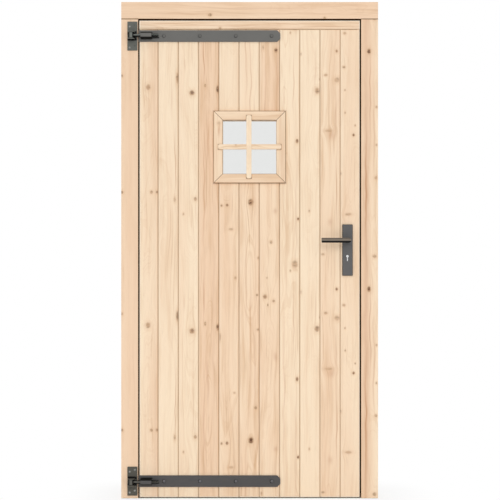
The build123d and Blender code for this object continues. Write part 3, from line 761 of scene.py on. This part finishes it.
def threaded(root, crest, pitch, length, columns=28, per_turn=8):
    """Screw thread: the radius rises from root to crest and back once every pitch of height,
    and the whole wave climbs by one pitch with each turn; both ends close on the axis."""
    rows = max(2, int(length / pitch * per_turn))
    height = np.linspace(0, length, rows)[:, None] * np.ones(columns)
    angle = np.linspace(0, TAU, columns, endpoint=False)
    wave = 1 - np.abs(2 * ((height / pitch - angle / TAU) % 1) - 1)
    radii = root + (crest - root) * wave
    ends = np.zeros((1, columns))
    radii = np.concatenate([ends, radii, ends])
    heights = np.concatenate([ends, height, ends + length])
    return radii * MM, heights * MM


# Timber

# How deep behind the face the tree's middle runs
NEAR, MID, FAR = 0.035, 0.075, 0.16


def rim_of(node, shadow, reach):
    """Painted shade round a piece's outline: its middle, half size, darkness and reach."""
    low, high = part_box(node)
    middle = middle_of(node)
    half = ((high.x - low.x) / 2, (high.z - low.z) / 2)
    return (middle.x, middle.z), half, shadow, reach


# Rims of painted shade: round the window's trim on the boards, round the bars' ends on the trim, and
# along the edges of the frame's opening on the posts and head
TRIM_RIM = (rim_of("front_trim", 0.55, 7.0 * MM),)
BAR_RIMS = (rim_of("upright_bar", 0.6, 3.4 * MM), rim_of("cross_bar", 0.5, 3.4 * MM))
OPENING = ((HINGE_SIDE + LOCK_SIDE) / 2, HEAD_SIDE / 2), ((LOCK_SIDE - HINGE_SIDE) / 2, HEAD_SIDE / 2)
OPENING_RIM = ((*OPENING, 1.0, 2.0 * MM),)
LOCK_SIDE_RIM = ((*OPENING, 1.0, 1.6 * MM),)
FRAME_SEAM = (HEAD_SIDE, HINGE_SIDE, LOCK_SIDE)     # where the posts meet the head
brace_low, brace_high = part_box("brace")
BRACE_TILT = math.atan2(brace_high.z - brace_low.z, brace_high.x - brace_low.x)

# Knots and streaks were placed from the picture: each is its column, row, half width
# and half height in mm, strength, and the height after which it comes again
board_finish = {
    "board_01": dict(
        pith=(0.118, FAR), ring=2.3, warmth=0.35, contrast=0.60, lean=9.0, taper=-0.010,
        knots=[(148.0, 87.1, 7, 9, 0.70, AGAIN), (151.4, 192.1, 4.5, 5, 0.60, AGAIN),
               (156.9, 192.0, 3.5, 5, 0.65, AGAIN)],
        streaks=[(155.5, 430, 9, 330, 0.20, ONCE), (154.5, 100, 7, 260, 0.15, ONCE)]),
    "board_02": dict(
        pith=(0.190, MID), ring=2.8, warmth=0.12, contrast=0.55,
        knots=[(177.3, 77.9, 4, 16, 0.70, AGAIN), (174.7, 199.3, 3.5, 8, 0.40, AGAIN)],
        streaks=[(175.3, 163.0, 1.6, 130, 0.75, AGAIN), (172.0, 100.0, 5, 60, 0.18, AGAIN)]),
    "board_03": dict(
        pith=(0.300, FAR), ring=2.2, warmth=0.10, contrast=0.50, taper=-0.012,
        knots=[(192.0, 92.9, 7.5, 9, 0.85, AGAIN), (195.3, 199.0, 4.5, 6, 0.65, AGAIN),
               (183.4, 214.0, 2.5, 4, 0.5, AGAIN)],
        streaks=[(184.4, 64.0, 3, 30, 0.30, AGAIN)]),
    "board_04": dict(
        pith=(0.372, NEAR), ring=4.8, warmth=1.0, contrast=1.0,
        knots=[(205.1, 85.7, 3.5, 6, 0.60, AGAIN), (217.6, 89.3, 4.5, 11, 0.90, AGAIN)],
        streaks=[(203.9, 60.0, 2.2, 75, 0.85, AGAIN), (207.5, 142.0, 5, 90, 0.45, AGAIN),
                 (213.5, 330.0, 6, 520, 0.22, ONCE), (204.0, 190.0, 3, 260, 0.45, AGAIN)]),
    "board_05": dict(
        pith=(0.455, MID), ring=2.9, warmth=0.55, contrast=0.75, upper=(0.32, 0.48),
        taper=-0.011,
        knots=[(221.6, 205.6, 3.5, 4, 0.75, AGAIN), (227.1, 205.2, 4.5, 5, 0.80, AGAIN),
               (230.9, 229.3, 7, 4, 0.45, AGAIN), (235.4, 277.9, 3.5, 4, 0.5, AGAIN),
               (219.9, 337.1, 3, 12, 0.65, ONCE), (234.4, 392.9, 3.5, 3, 0.45, ONCE)]),
    "board_06": dict(
        pith=(0.560, NEAR), ring=4.6, warmth=0.55, contrast=1.05, upper=(0.05, 0.30),
        knots=[(250.9, 202.3, 8, 10, 1.0, AGAIN), (258.2, 257.9, 3, 4, 0.5, ONCE),
               (257.1, 295.0, 3.5, 4, 0.55, ONCE), (257.9, 329.8, 4, 4, 0.5, ONCE),
               (255.7, 407.9, 4.5, 5, 0.55, ONCE)],
        streaks=[(246.0, 280.0, 2.5, 190, 0.50, AGAIN), (250.5, 330.0, 2.5, 240, 0.45, AGAIN),
                 (255.0, 380.0, 2.5, 200, 0.35, AGAIN)]),
    "board_07": dict(
        pith=(0.622, MID), ring=3.6, warmth=0.52, contrast=0.85, upper=(0.75, 1.05),
        taper=-0.013,
        knots=[(276.0, 50.3, 5.5, 8, 0.95, ONCE), (263.1, 47.1, 3.5, 8, 0.35, ONCE),
               (271.1, 242.1, 4, 5, 0.55, ONCE), (266.9, 277.9, 2.2, 3, 0.45, ONCE),
               (265.0, 296.7, 6, 7, 0.80, ONCE), (273.6, 301.0, 4, 5, 0.6, ONCE),
               (267.9, 305.0, 2, 4, 0.65, ONCE), (261.4, 493.6, 3, 6, 0.55, ONCE)],
        streaks=[(277.0, 80.0, 4, 190, 0.45, ONCE), (265.5, 90.0, 3, 140, 0.30, ONCE),
                 (275.9, 211.0, 8, 12, 0.42, AGAIN), (275.7, 357.0, 8, 20, 0.42, ONCE)]),
    "board_08": dict(
        pith=(0.705, MID), ring=3.8, warmth=0.0, contrast=0.68,
        knots=[(290.4, 32.6, 2.5, 4, 0.5, AGAIN), (297.1, 141.1, 4.5, 7, 0.85, AGAIN),
               (298.1, 219.0, 3.2, 5, 1.0, AGAIN), (295.1, 264.3, 9, 11, 0.60, AGAIN)],
        streaks=[(293.5, 85.0, 2.0, 110, 0.50, AGAIN), (284.0, 150.0, 3, 280, 0.30, AGAIN),
                 (296.0, 215.0, 4, 260, 0.28, AGAIN)]),
    "board_09": dict(
        pith=(0.830, FAR), ring=2.2, warmth=0.05, contrast=0.48, taper=-0.010,
        knots=[(317.1, 90.7, 7, 9, 0.75, AGAIN), (300.7, 54.0, 2.5, 5, 0.5, AGAIN),
               (309.3, 211.0, 2.5, 4, 0.5, AGAIN), (320.2, 79.3, 2.5, 4, 0.55, AGAIN)],
        streaks=[(315.5, 72.0, 3, 75, 0.30, AGAIN)]),
    "board_10": dict(
        pith=(0.900, NEAR), ring=4.5, warmth=0.55, contrast=0.80,
        knots=[(336.7, 51.0, 4, 5, 0.85, AGAIN), (325.7, 75.0, 5.5, 4, 0.6, AGAIN),
               (336.9, 80.0, 8, 8, 0.50, AGAIN), (328.6, 130.7, 11, 4, 0.35, AGAIN),
               (322.9, 254.3, 5.5, 3.5, 0.5, AGAIN)],
        streaks=[(330.0, 222.0, 10, 16, 0.35, AGAIN), (330.5, 135.0, 17, 20, 0.42, AGAIN),
                 (336.6, 190.0, 2.2, 130, 0.70, AGAIN), (336.0, 115.0, 4, 60, 0.40, AGAIN)]),
    "board_11": dict(
        pith=(0.985, FAR), ring=2.1, warmth=0.38, contrast=0.45, taper=-0.009,
        knots=[(344.7, 33.1, 5, 4, 0.55, AGAIN), (343.9, 67.1, 4.5, 4, 0.6, AGAIN),
               (345.0, 90.0, 2.2, 3, 0.6, AGAIN), (345.2, 112.6, 2.2, 3.5, 0.65, AGAIN),
               (355.2, 125.4, 2.2, 3, 0.6, AGAIN), (353.6, 135.0, 4, 5, 0.95, AGAIN),
               (348.4, 214.3, 10, 4, 0.50, AGAIN), (340.9, 173.5, 2.5, 5, 0.55, AGAIN)]),
}

timber_finish = {
    "hinge_jamb": dict(
        pith=(0.036, FAR), ring=2.2, seed=12.0, warmth=0.9, contrast=0.38, shallow=True,
        rims=OPENING_RIM, lean=6.0, vee=ARRIS_SHADE,
        knots=[(122.0, 75.7, 3, 5, 0.65, AGAIN), (122.0, 192.1, 4, 5, 0.65, AGAIN)]),
    "lock_jamb": dict(
        pith=(1.062, MID), ring=4.2, seed=13.0, warmth=0.66, contrast=0.64, shallow=True,
        rims=LOCK_SIDE_RIM, lean=-16.0, vee=ARRIS_SHADE,
        knots=[(369.0, 51.1, 6, 9, 0.95, AGAIN), (376.6, 107.0, 3.5, 4, 0.55, AGAIN),
               (376.5, 145.0, 3, 4, 0.55, AGAIN), (375.9, 177.7, 4.5, 5, 0.55, AGAIN),
               (374.6, 256.4, 6, 6, 0.55, AGAIN)],
        streaks=[(366.2, 250.0, 13, 1500, 0.40, ONCE), (370.3, 90.0, 2.5, 160, 0.60, AGAIN),
                 (366.0, 190.0, 3, 200, 0.70, AGAIN), (374.0, 130.0, 3, 170, 0.45, AGAIN)]),
    "head": dict(
        pith=(2.110, MID), ring=4.6, seed=14.0, warmth=0.95, contrast=0.72, grain="x",
        shallow=True, rims=OPENING_RIM, seam=FRAME_SEAM, vee=ARRIS_SHADE, taper=0.02,
        knots=[(209.9, 14.7, 5, 6, 0.65, ONCE), (324.7, 18.0, 4, 4, 0.55, ONCE)],
        streaks=[(180, 13.4, 2.0, 130, 0.32, ONCE), (255, 8.2, 2.4, 220, 0.26, ONCE),
                 (300, 13.0, 2.0, 180, 0.26, ONCE), (350, 6.0, 2.2, 120, 0.24, ONCE)]),
    "threshold": dict(
        pith=(0.030, FAR), ring=3.6, seed=15.0, warmth=0.9, contrast=0.7, grain="x"),
    "top_rail": dict(
        pith=(2.020, NEAR), ring=4.4, seed=16.0, warmth=0.38, contrast=1.08, grain="x",
        vee=VEE_SHADE, highlight_edge=LEAF_LEFT, taper=0.016,
        knots=[(220.1, 28.4, 5, 4, 0.6, ONCE)],
        streaks=[(170, 23.8, 1.4, 150, 0.55, ONCE), (160, 27.6, 1.6, 120, 0.50, ONCE),
                 (232, 25.6, 2.2, 170, 0.40, ONCE), (290, 23.2, 1.4, 190, 0.50, ONCE),
                 (330, 26.6, 2.0, 130, 0.45, ONCE), (262, 28.0, 1.4, 130, 0.45, ONCE)]),
    "window_rail": dict(
        pith=(1.700, MID), ring=3.8, seed=17.0, warmth=0.4, contrast=0.65, grain="x",
        knots=[(186.0, 101.0, 6, 5, 0.7, ONCE), (263.0, 105.5, 4, 4, 0.6, ONCE),
               (322.0, 99.0, 7, 5, 0.65, ONCE)]),
    "middle_rail": dict(
        pith=(1.260, NEAR), ring=4.3, seed=18.0, warmth=0.5, contrast=0.75, grain="x",
        knots=[(171.0, 203.0, 8, 6, 0.8, ONCE), (225.0, 190.0, 5, 4, 0.6, ONCE),
               (311.0, 197.0, 7, 7, 0.75, ONCE)]),
    "bottom_rail": dict(
        pith=(0.050, MID), ring=4.0, seed=19.0, warmth=0.35, contrast=0.7, grain="x",
        knots=[(199.0, 477.0, 7, 6, 0.7, ONCE), (285.0, 489.0, 6, 5, 0.75, ONCE)]),
    "hinge_stile": dict(
        pith=(0.115, MID), ring=3.7, seed=20.0, warmth=0.45, contrast=0.65,
        knots=[(147.0, 64.0, 5, 7, 0.7, ONCE), (155.0, 151.0, 7, 9, 0.8, ONCE),
               (145.0, 262.0, 6, 8, 0.65, ONCE), (152.0, 389.0, 8, 9, 0.75, ONCE)]),
    "lock_stile": dict(
        pith=(0.980, NEAR), ring=4.1, seed=21.0, warmth=0.3, contrast=0.7,
        knots=[(345.0, 119.0, 7, 8, 0.75, ONCE), (351.0, 301.0, 6, 8, 0.7, ONCE),
               (343.0, 421.0, 5, 7, 0.65, ONCE)]),
    "upright_bar": dict(
        pith=(0.548, FAR), ring=3.2, seed=22.0, warmth=0.05, contrast=0.35),
    "cross_bar": dict(
        pith=(1.500, FAR), ring=3.2, seed=23.0, warmth=0.42, contrast=0.8, grain="x",
        knots=[(235.9, 145.0, 4, 3, 0.35, ONCE)]),
    "front_trim": dict(
        pith=(0.900, MID), ring=3.8, seed=24.0, warmth=0.35, contrast=1.0, vee=ARRIS_SHADE,
        lit=VEE_LIGHT, rims=BAR_RIMS, mitred=WINDOW_MIDDLE,
        knots=[(219.0, 123.5, 5, 5, 0.22, ONCE)],
        streaks=[(219.3, 130.0, 5, 26, 0.60, ONCE), (282.5, 150.0, 12, 150, 0.28, ONCE)]),
    "back_trim": dict(
        pith=(0.800, FAR), ring=3.5, seed=25.0, warmth=0.35, contrast=0.55,
        mitred=WINDOW_MIDDLE),
    "brace": dict(
        pith=(0.25, MID), ring=4.0, seed=26.0, warmth=0.4, contrast=0.7, grain="x",
        tilt=BRACE_TILT),
}


def dress(node, material):
    """Gives a solid of the part its finish."""
    if nodes[node].material_slots:
        for place in nodes[node].material_slots:
            place.material = material
    else:
        nodes[node].data.materials.append(material)


BESIDE_WINDOW = range(4, 9)     # numbers of the boards that meet the window's trim

for number, (board, finish) in enumerate(board_finish.items(), start=1):
    dress(board, pine(f"pine_{board}", seed=float(number), vee=VEE_SHADE, lit=VEE_LIGHT,
                      rims=TRIM_RIM if number in BESIDE_WINDOW else (),
                      highlight_edge=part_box(board)[0].x, **finish))
for timber, finish in timber_finish.items():
    dress(timber, pine(f"pine_{timber}", **finish))


# Glass and ironwork

dress("glass", pane_glass("pane"))

STRAP_THICKNESS = 5.0 * MM
BRACKET_THICKNESS = 4.0 * MM
SLEEVE_END = 57.5 * MM          # end of the strap's sleeve, from the strap's left end
PIN = middle_of("hinge_pins")
strap_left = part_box("upper_strap")[0].x
strap_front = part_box("upper_strap")[1].y - STRAP_THICKNESS
bracket_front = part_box("upper_bracket")[1].y - BRACKET_THICKNESS
hinge_heights = {hinge: middle_of(f"{hinge}_bracket").z for hinge in ("upper", "lower")}


def plate_bands(height):
    """Bands of painted shadow across a bracket's plate: one behind each lug and one beside the eye."""
    left, right = PIN.x - 19 * MM, PIN.x + 21 * MM
    return ((left, right, height + 10.5 * MM, height + 19.5 * MM),
            (left, right, height - 19.0 * MM, height - 10.5 * MM),
            (PIN.x + 11 * MM, right - 3 * MM, height - 12 * MM, height - 4 * MM))


def strap_bands(height):
    """Bands of painted shadow along the sleeve's two edges and round the stud's tail, on the strap."""
    left, right = strap_left + 10 * MM, strap_left + 59 * MM
    return ((left, right, height + 11.5 * MM, height + 15.0 * MM),
            (left, right, height - 13.5 * MM, height - 11.0 * MM),
            (right, right + 29 * MM, height - 9.5 * MM, height - 6.0 * MM))


# The lower hinge's strap and plate paints are given darker than the upper's as painted shade: one
# paint, lit less near the floor
strap_colours = {"upper": srgb(109, 108, 105), "lower": srgb(86, 85, 85)}
plate_colours = {"upper": srgb(102, 104, 98), "lower": srgb(90, 88, 81)}
for hinge, height in hinge_heights.items():
    dress(f"{hinge}_strap", painted_steel(
        f"{hinge}_strap_paint", strap_colours[hinge], strap_front, shadow_bands=strap_bands(height)))
    dress(f"{hinge}_bracket", painted_steel(
        f"{hinge}_plate_paint", plate_colours[hinge], bracket_front, shadow_bands=plate_bands(height),
        lugs=True))
# Painted shade where the bolt domes turn away from the front, lighter right and up by lit_side; the
# two copies differ as painted light
bolt_paints = {
    "upper": painted_steel("upper_bolt_paint", srgb(104, 103, 100), strap_front, rough=0.45,
                           shade_colour=srgb(80, 80, 79), lit_side=0.16),
    "lower": painted_steel("lower_bolt_paint", srgb(104, 104, 107), strap_front, rough=0.32,
                           lit_side=0.22)}
# The lower fittings' painted highlight is darker than the upper's, as painted shade near the floor
black_fittings = {
    "upper": blackened_steel("upper_black_fitting", STEEL_BLACK_AND_SHADE, srgb(114, 118, 112)),
    "lower": blackened_steel("lower_black_fitting", STEEL_BLACK_AND_SHADE, srgb(96, 95, 89))}
handle_plate_metal = satin_metal("handle_plate_metal", srgb(98, 97, 97), srgb(40, 36, 33),
                                 brushed=(60, 60, 900), edge=1.0)
lever_metal = satin_metal("lever_metal", srgb(118, 108, 97), srgb(4, 3, 3),
                          brushed=(40, 900, 900), rough=0.42, front_highlight=0.30)
lock_zinc = zinc("lock_zinc", srgb(176, 176, 174))
bolt_zinc = zinc("bolt_zinc", srgb(158, 158, 156))
screw_zinc = zinc("screw_zinc", srgb(150, 150, 147), 0.34)
inner_screw_metals = {"upper": zinc("painted_screw", srgb(106, 108, 102), 0.5), "lower": screw_zinc}
bright_nickel = zinc("bright_nickel", srgb(246, 246, 243), 0.06)

ironwork = {
    "hinge_pins": black_fittings["upper"],
    "upper_eyebolt": black_fittings["upper"], "lower_eyebolt": black_fittings["lower"],
    "outer_plate": handle_plate_metal, "inner_plate": handle_plate_metal,
    "outer_handle": lever_metal, "inner_handle": lever_metal,
    "spindle": lock_zinc, "lock_case": lock_zinc, "strike_plate": lock_zinc}
for fitting, metal in ironwork.items():
    dress(fitting, metal)

OUT, IN, RIGHT, LEFT, UP = (0, -1, 0), (0, 1, 0), (1, 0, 0), (-1, 0, 0), (0, 0, 1)

# Sizes of the fastenings, in mm
BOLT_COUNT, FIRST_BOLT, BOLT_PITCH = 4, 108.5, 153.6
HEAD_RADIUS, HEAD_RISE = 7.8, 4.6
WASHER_BORE, WASHER_RADIUS, WASHER_THICKNESS, WASHER_EDGE = 4.2, 11.0, 1.6, 0.3
NUT_FLATS, NUT_HEIGHT = 13.0, 6.5
TAIL_START, TAIL_LENGTH = 6.0, 5.6
TAIL_THREAD = dict(root=3.5, crest=4.0, pitch=1.25)
STUD_THREAD = dict(root=6.45, crest=7.05, pitch=1.75)
STUD_START, STUD_PLAIN = 0.4, 1.9       # bare stud before the thread, and in all
BRACKET_SCREW = dict(radius=4.0, rise=1.3, recess=1.0)
PLATE_SCREW = dict(radius=4.6, rise=1.6, recess=1.1)
EDGE_SCREW = dict(radius=4.2, rise=0.7, recess=0.6)
BOARD_SCREW = dict(radius=4.0, rise=0.8, recess=0.6, columns=24, rows=9)
# The bracket's screws, across and up from the pin's middle
BRACKET_SCREWS = {"outer": ((-7.8, 40.5), (-7.8, -49.0)), "inner": ((14.0, 48.0), (14.0, -40.5))}

# Places of the other screws, in metres
PLATE_SCREW_INSET = 14 * MM
EDGE_SCREW_INSET = 9 * MM
RAIL_SCREW_INSET = 14 * MM
STILE_SCREWS_X, STILE_SCREWS_Z = (0.118, 0.975), (0.30, 0.70, 1.45, 1.80)

bolt_columns = [strap_left + (FIRST_BOLT + BOLT_PITCH * i) * MM for i in range(BOLT_COUNT)]
for hinge, height in hinge_heights.items():
    bolt_parts = (
        ("heads", strap_front, OUT, domed_head(HEAD_RADIUS, HEAD_RISE), bolt_paints[hinge], 50),
        ("washers", LEAF_BACK, IN,
         washer(WASHER_BORE, WASHER_RADIUS, WASHER_THICKNESS, WASHER_EDGE), bolt_zinc, 30),
        ("nuts", LEAF_BACK + WASHER_THICKNESS * MM, IN, hexagon(NUT_FLATS, NUT_HEIGHT), bolt_zinc, 28),
        ("tails", LEAF_BACK + TAIL_START * MM, IN,
         threaded(length=TAIL_LENGTH, columns=24, **TAIL_THREAD), bolt_zinc, 60))
    for part, depth, way, shape, metal, sharp in bolt_parts:
        seats = [(x, depth, height) for x in bolt_columns]
        skin(f"{hinge}_bolt_{part}", around(seats, way, *shape), "leaf", metal, sharp)

    for side, metal in (("outer", screw_zinc), ("inner", inner_screw_metals[hinge])):
        screws = [(PIN.x + across * MM, bracket_front, height + up * MM)
                  for across, up in BRACKET_SCREWS[side]]
        skin(f"{hinge}_bracket_screws_{side}", around(screws, OUT, *cross_head(**BRACKET_SCREW)),
             "frame", metal, 40)

    sleeve_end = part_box(f"{hinge}_strap")[0].x + SLEEVE_END
    length = (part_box(f"{hinge}_eyebolt")[1].x - sleeve_end) / MM - STUD_PLAIN
    thread_start = (sleeve_end + STUD_START * MM, PIN.y, height)
    skin(f"{hinge}_stud_thread",
         around([thread_start], RIGHT, *threaded(length=length, **STUD_THREAD)),
         "leaf", black_fittings[hinge], 80)


def end_screws(plate, x, y, inset):
    """Places of two screws, the inset from either end of an upright plate."""
    low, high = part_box(plate)
    return [(x, y, low.z + inset), (x, y, high.z - inset)]


spindle_x = middle_of("inner_plate").x
plate_screws = end_screws("inner_plate", spindle_x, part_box("inner_plate")[1].y, PLATE_SCREW_INSET)
skin("inner_plate_screws", around(plate_screws, IN, *cross_head(**PLATE_SCREW)),
     "leaf", screw_zinc, 40)


def keyhole_liner(columns=48):
    """Sleeve of the keyhole: at each angle the wall is the farther of a round head and a
    straight slot below it, carried from the outer plate to the inner one, inside and outside."""
    radius, slot, foot, thickness = 5.62, 2.82, 21.0, 0.14
    drop, gap = 68 * MM, 0.2 * MM
    middle_z = middle_of("spindle").z - drop
    front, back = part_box("outer_plate")[1].y + gap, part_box("inner_plate")[0].y - gap
    angle = np.linspace(0, TAU, columns, endpoint=False)
    down = np.maximum(-np.sin(angle), 1e-6)
    side = np.maximum(np.abs(np.cos(angle)), 1e-6)
    below = np.maximum(radius, np.minimum(slot / side, foot / down))
    reach = np.where(np.sin(angle) < 0, below, radius)
    walls = []
    for wall, y in ((0.0, front), (0.0, back), (thickness, back), (thickness, front), (0.0, front)):
        out = (reach - wall) * MM
        walls.append(np.stack([spindle_x + out * np.cos(angle), np.full(columns, y),
                               middle_z + out * np.sin(angle)], axis=1))
    return np.array(walls)[None]


skin("keyhole_liner", keyhole_liner(), "leaf", bright_nickel, 40)


def rebate_shade_seal():
    """Soft lip let into the frame's rebate just behind its face, in dark rubber that stands in for the
    shade in the gap round the leaf.

    The lip's profile is a rounded nose: its reach into the gap is the square root of the sine
    along it, and its back lies a little inside the timber. The profile follows the hinge post
    up, the head across and the lock post down; at each stop its reach is laid off sideways,
    downwards or both, which makes the mitres."""
    behind_face, half_thickness = 6.2 * MM, 3.0 * MM
    at_hinges, at_lock, at_head = 4.5 * MM, 4.6 * MM, 5.9 * MM
    over_threshold, inside = 0.5 * MM, 0.02
    middle = DOOR_FACE + behind_face
    turn = np.linspace(0, math.pi, 15)
    reach = np.concatenate([np.sqrt(np.sin(turn).clip(0, 1)), [-inside, -inside]])
    depth = np.concatenate([middle - half_thickness * np.cos(turn),
                            [middle + half_thickness, middle - half_thickness]])
    left, right = HINGE_SIDE + at_hinges * reach, LOCK_SIDE - at_lock * reach
    top = HEAD_SIDE - at_head * reach
    low = np.full_like(reach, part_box("threshold")[1].z + over_threshold)
    depth_middle = np.full_like(depth, depth.mean())
    rings = [(np.full_like(left, left.mean()), depth_middle, low), (left, depth, low),
             (left, depth, top), (right, depth, top), (right, depth, low),
             (np.full_like(right, right.mean()), depth_middle, low)]
    return np.array([np.stack(ring, axis=1) for ring in rings])[None]


# a seal whose dark rubber is also painted shade for the gap round the leaf
skin("rebate_shade_seal", rebate_shade_seal(), "frame", dark_rubber("seal_rubber"), 50)

lock_depth = middle_of("lock_case").y
face_screws = end_screws("lock_case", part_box("lock_stile")[1].x, lock_depth, EDGE_SCREW_INSET)
skin("faceplate_screws", around(face_screws, RIGHT, *cross_head(**EDGE_SCREW)),
     "leaf", screw_zinc, 40)
strike_screws = end_screws("strike_plate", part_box("strike_plate")[0].x, lock_depth, EDGE_SCREW_INSET)
skin("strike_plate_screws", around(strike_screws, LEFT, *cross_head(**EDGE_SCREW)),
     "frame", screw_zinc, 40)

board_middles = [middle_of(f"board_{number:02d}").x for number in range(2, 11)]
board_screws = []
for rail in ("top_rail", "window_rail", "middle_rail", "bottom_rail"):
    low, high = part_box(rail)
    for z in (low.z + RAIL_SCREW_INSET, high.z - RAIL_SCREW_INSET):
        board_screws += [(x, LEAF_BACK, z) for x in board_middles]
board_screws += [(x, LEAF_BACK, z) for x in STILE_SCREWS_X for z in STILE_SCREWS_Z]
skin("board_screws", around(board_screws, IN, *cross_head(**BOARD_SCREW)),
     "leaf", screw_zinc, 40)


# Floor, light and camera

FLOOR_RADIUS = 9.0
FLOOR_DROP = 1 * MM             # the floor lies this far under the door
SHADOW_REACH = 0.30             # away from the frame the floor turns white over this distance
NEAR_WHITE = 0.78               # share of plain white in the floor beside the frame


def seen_directly(t):
    """1 for rays from the camera, from a glossy surface or through glass, else 0."""
    path = t.node("ShaderNodeLightPath").outputs
    return t.most(path["Is Camera Ray"],
                  t.most(path["Is Glossy Ray"], path["Is Transmission Ray"]))


def pale_floor():
    """Floor that takes shadow near the door and fades to plain white further off.

    The share of white grows with the distance from the frame's foot; right under the frame
    there is none."""
    foot_depth, under_depth = 50 * MM, 46 * MM
    material, t, shader, place = surface("pale_floor")
    speckle = t.noise(place["Object"], 3.0, 0.5, 60.0)
    t.put(shader.inputs["Base Color"],
          t.blend(speckle, (0.86, 0.86, 0.86, 1), (0.90, 0.90, 0.90, 1)))
    shader.inputs["Roughness"].default_value = 0.9
    shader.inputs["Specular IOR Level"].default_value = 0.1
    x, y, _ = t.split(place["Object"])
    aside, off = t.size(t.sub(x, FRAME_MIDDLE)), t.size(y)
    beside = t.most(t.sub(aside, FRAME_HALF), 0.0)
    before = t.most(t.sub(off, foot_depth), 0.0)
    away = t.math("SQRT", t.add(t.mul(beside, beside), t.mul(before, before)))
    under = t.mul(t.math("LESS_THAN", aside, FRAME_HALF), t.math("LESS_THAN", off, under_depth))
    share = t.mul(t.step(away, 0.0, SHADOW_REACH, NEAR_WHITE, 1.0), t.sub(1.0, under))
    white = t.node("ShaderNodeEmission")
    white.inputs["Color"].default_value = (1, 1, 1, 1)
    mixed = t.filled("ShaderNodeMixShader", t.mul(seen_directly(t), share), shader.outputs[0],
                     white.outputs[0])[0]
    t.put(material.node_tree.nodes["Material Output"].inputs["Surface"], mixed)
    return material


def make_floor():
    """Round floor: rings of points whose radius shrinks evenly from the edge to the middle."""
    radius = np.linspace(FLOOR_RADIUS, 0, 31)[:, None] * np.ones(64)
    rings = around([(FRAME_MIDDLE, 0.0, -FLOOR_DROP)], UP, radius, np.zeros_like(radius))
    floor = put_in_scene("floor", grid_mesh("floor", rings, pale_floor(), closed=False))
    floor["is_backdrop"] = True


def make_sky():
    """White wherever it is seen, and an even light of its own strength elsewhere."""
    world = bpy.data.worlds.new("studio")
    world.use_nodes = True
    bpy.context.scene.world = world
    t = Tree(world.node_tree)
    sky = world.node_tree.nodes["Background"]
    sky.inputs["Color"].default_value = (1, 1, 1, 1)
    t.put(sky.inputs["Strength"], t.add(AMBIENT, t.mul(seen_directly(t), 1.0 - AMBIENT)))


def softbox(name, place, target, size, power):
    """Rectangular lamp that looks at the target."""
    data = bpy.data.lights.new(name, "AREA")
    data.shape = "RECTANGLE"
    data.size, data.size_y = size
    data.energy = power
    lamp = put_in_scene(name, data)
    lamp.location = place
    way = np.array(target, float) - np.array(place, float)
    tip = math.acos(-way[2] / np.linalg.norm(way))
    lamp.rotation_euler = (tip, 0.0, math.atan2(-way[0], way[1]))


def make_camera():
    """Level camera straight in front of the door."""
    data = bpy.data.cameras.new("viewpoint")
    data.lens = LENS
    data.sensor_width = SENSOR
    camera = put_in_scene("viewpoint", data)
    camera.location = EYE
    camera.rotation_euler = (math.pi / 2, 0.0, 0.0)
    bpy.context.scene.camera = camera


make_camera()
make_floor()
make_sky()
softbox("key", place=(1.0, -4.6, 3.45), target=(0.55, 0.0, 1.1), size=(4.0, 2.3), power=KEY_POWER)
softbox("low_fill", place=(0.5, -1.65, 0.22), target=(0.55, 0.0, 0.3), size=(2.4, 0.4),
        power=LOW_POWER)
softbox("back_fill", place=(-0.6, 3.4, 3.4), target=(0.55, 0.0, 1.1), size=(2.6, 1.8),
        power=BACK_POWER)
bpy.context.scene.view_settings.view_transform = "Standard"

low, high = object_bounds()
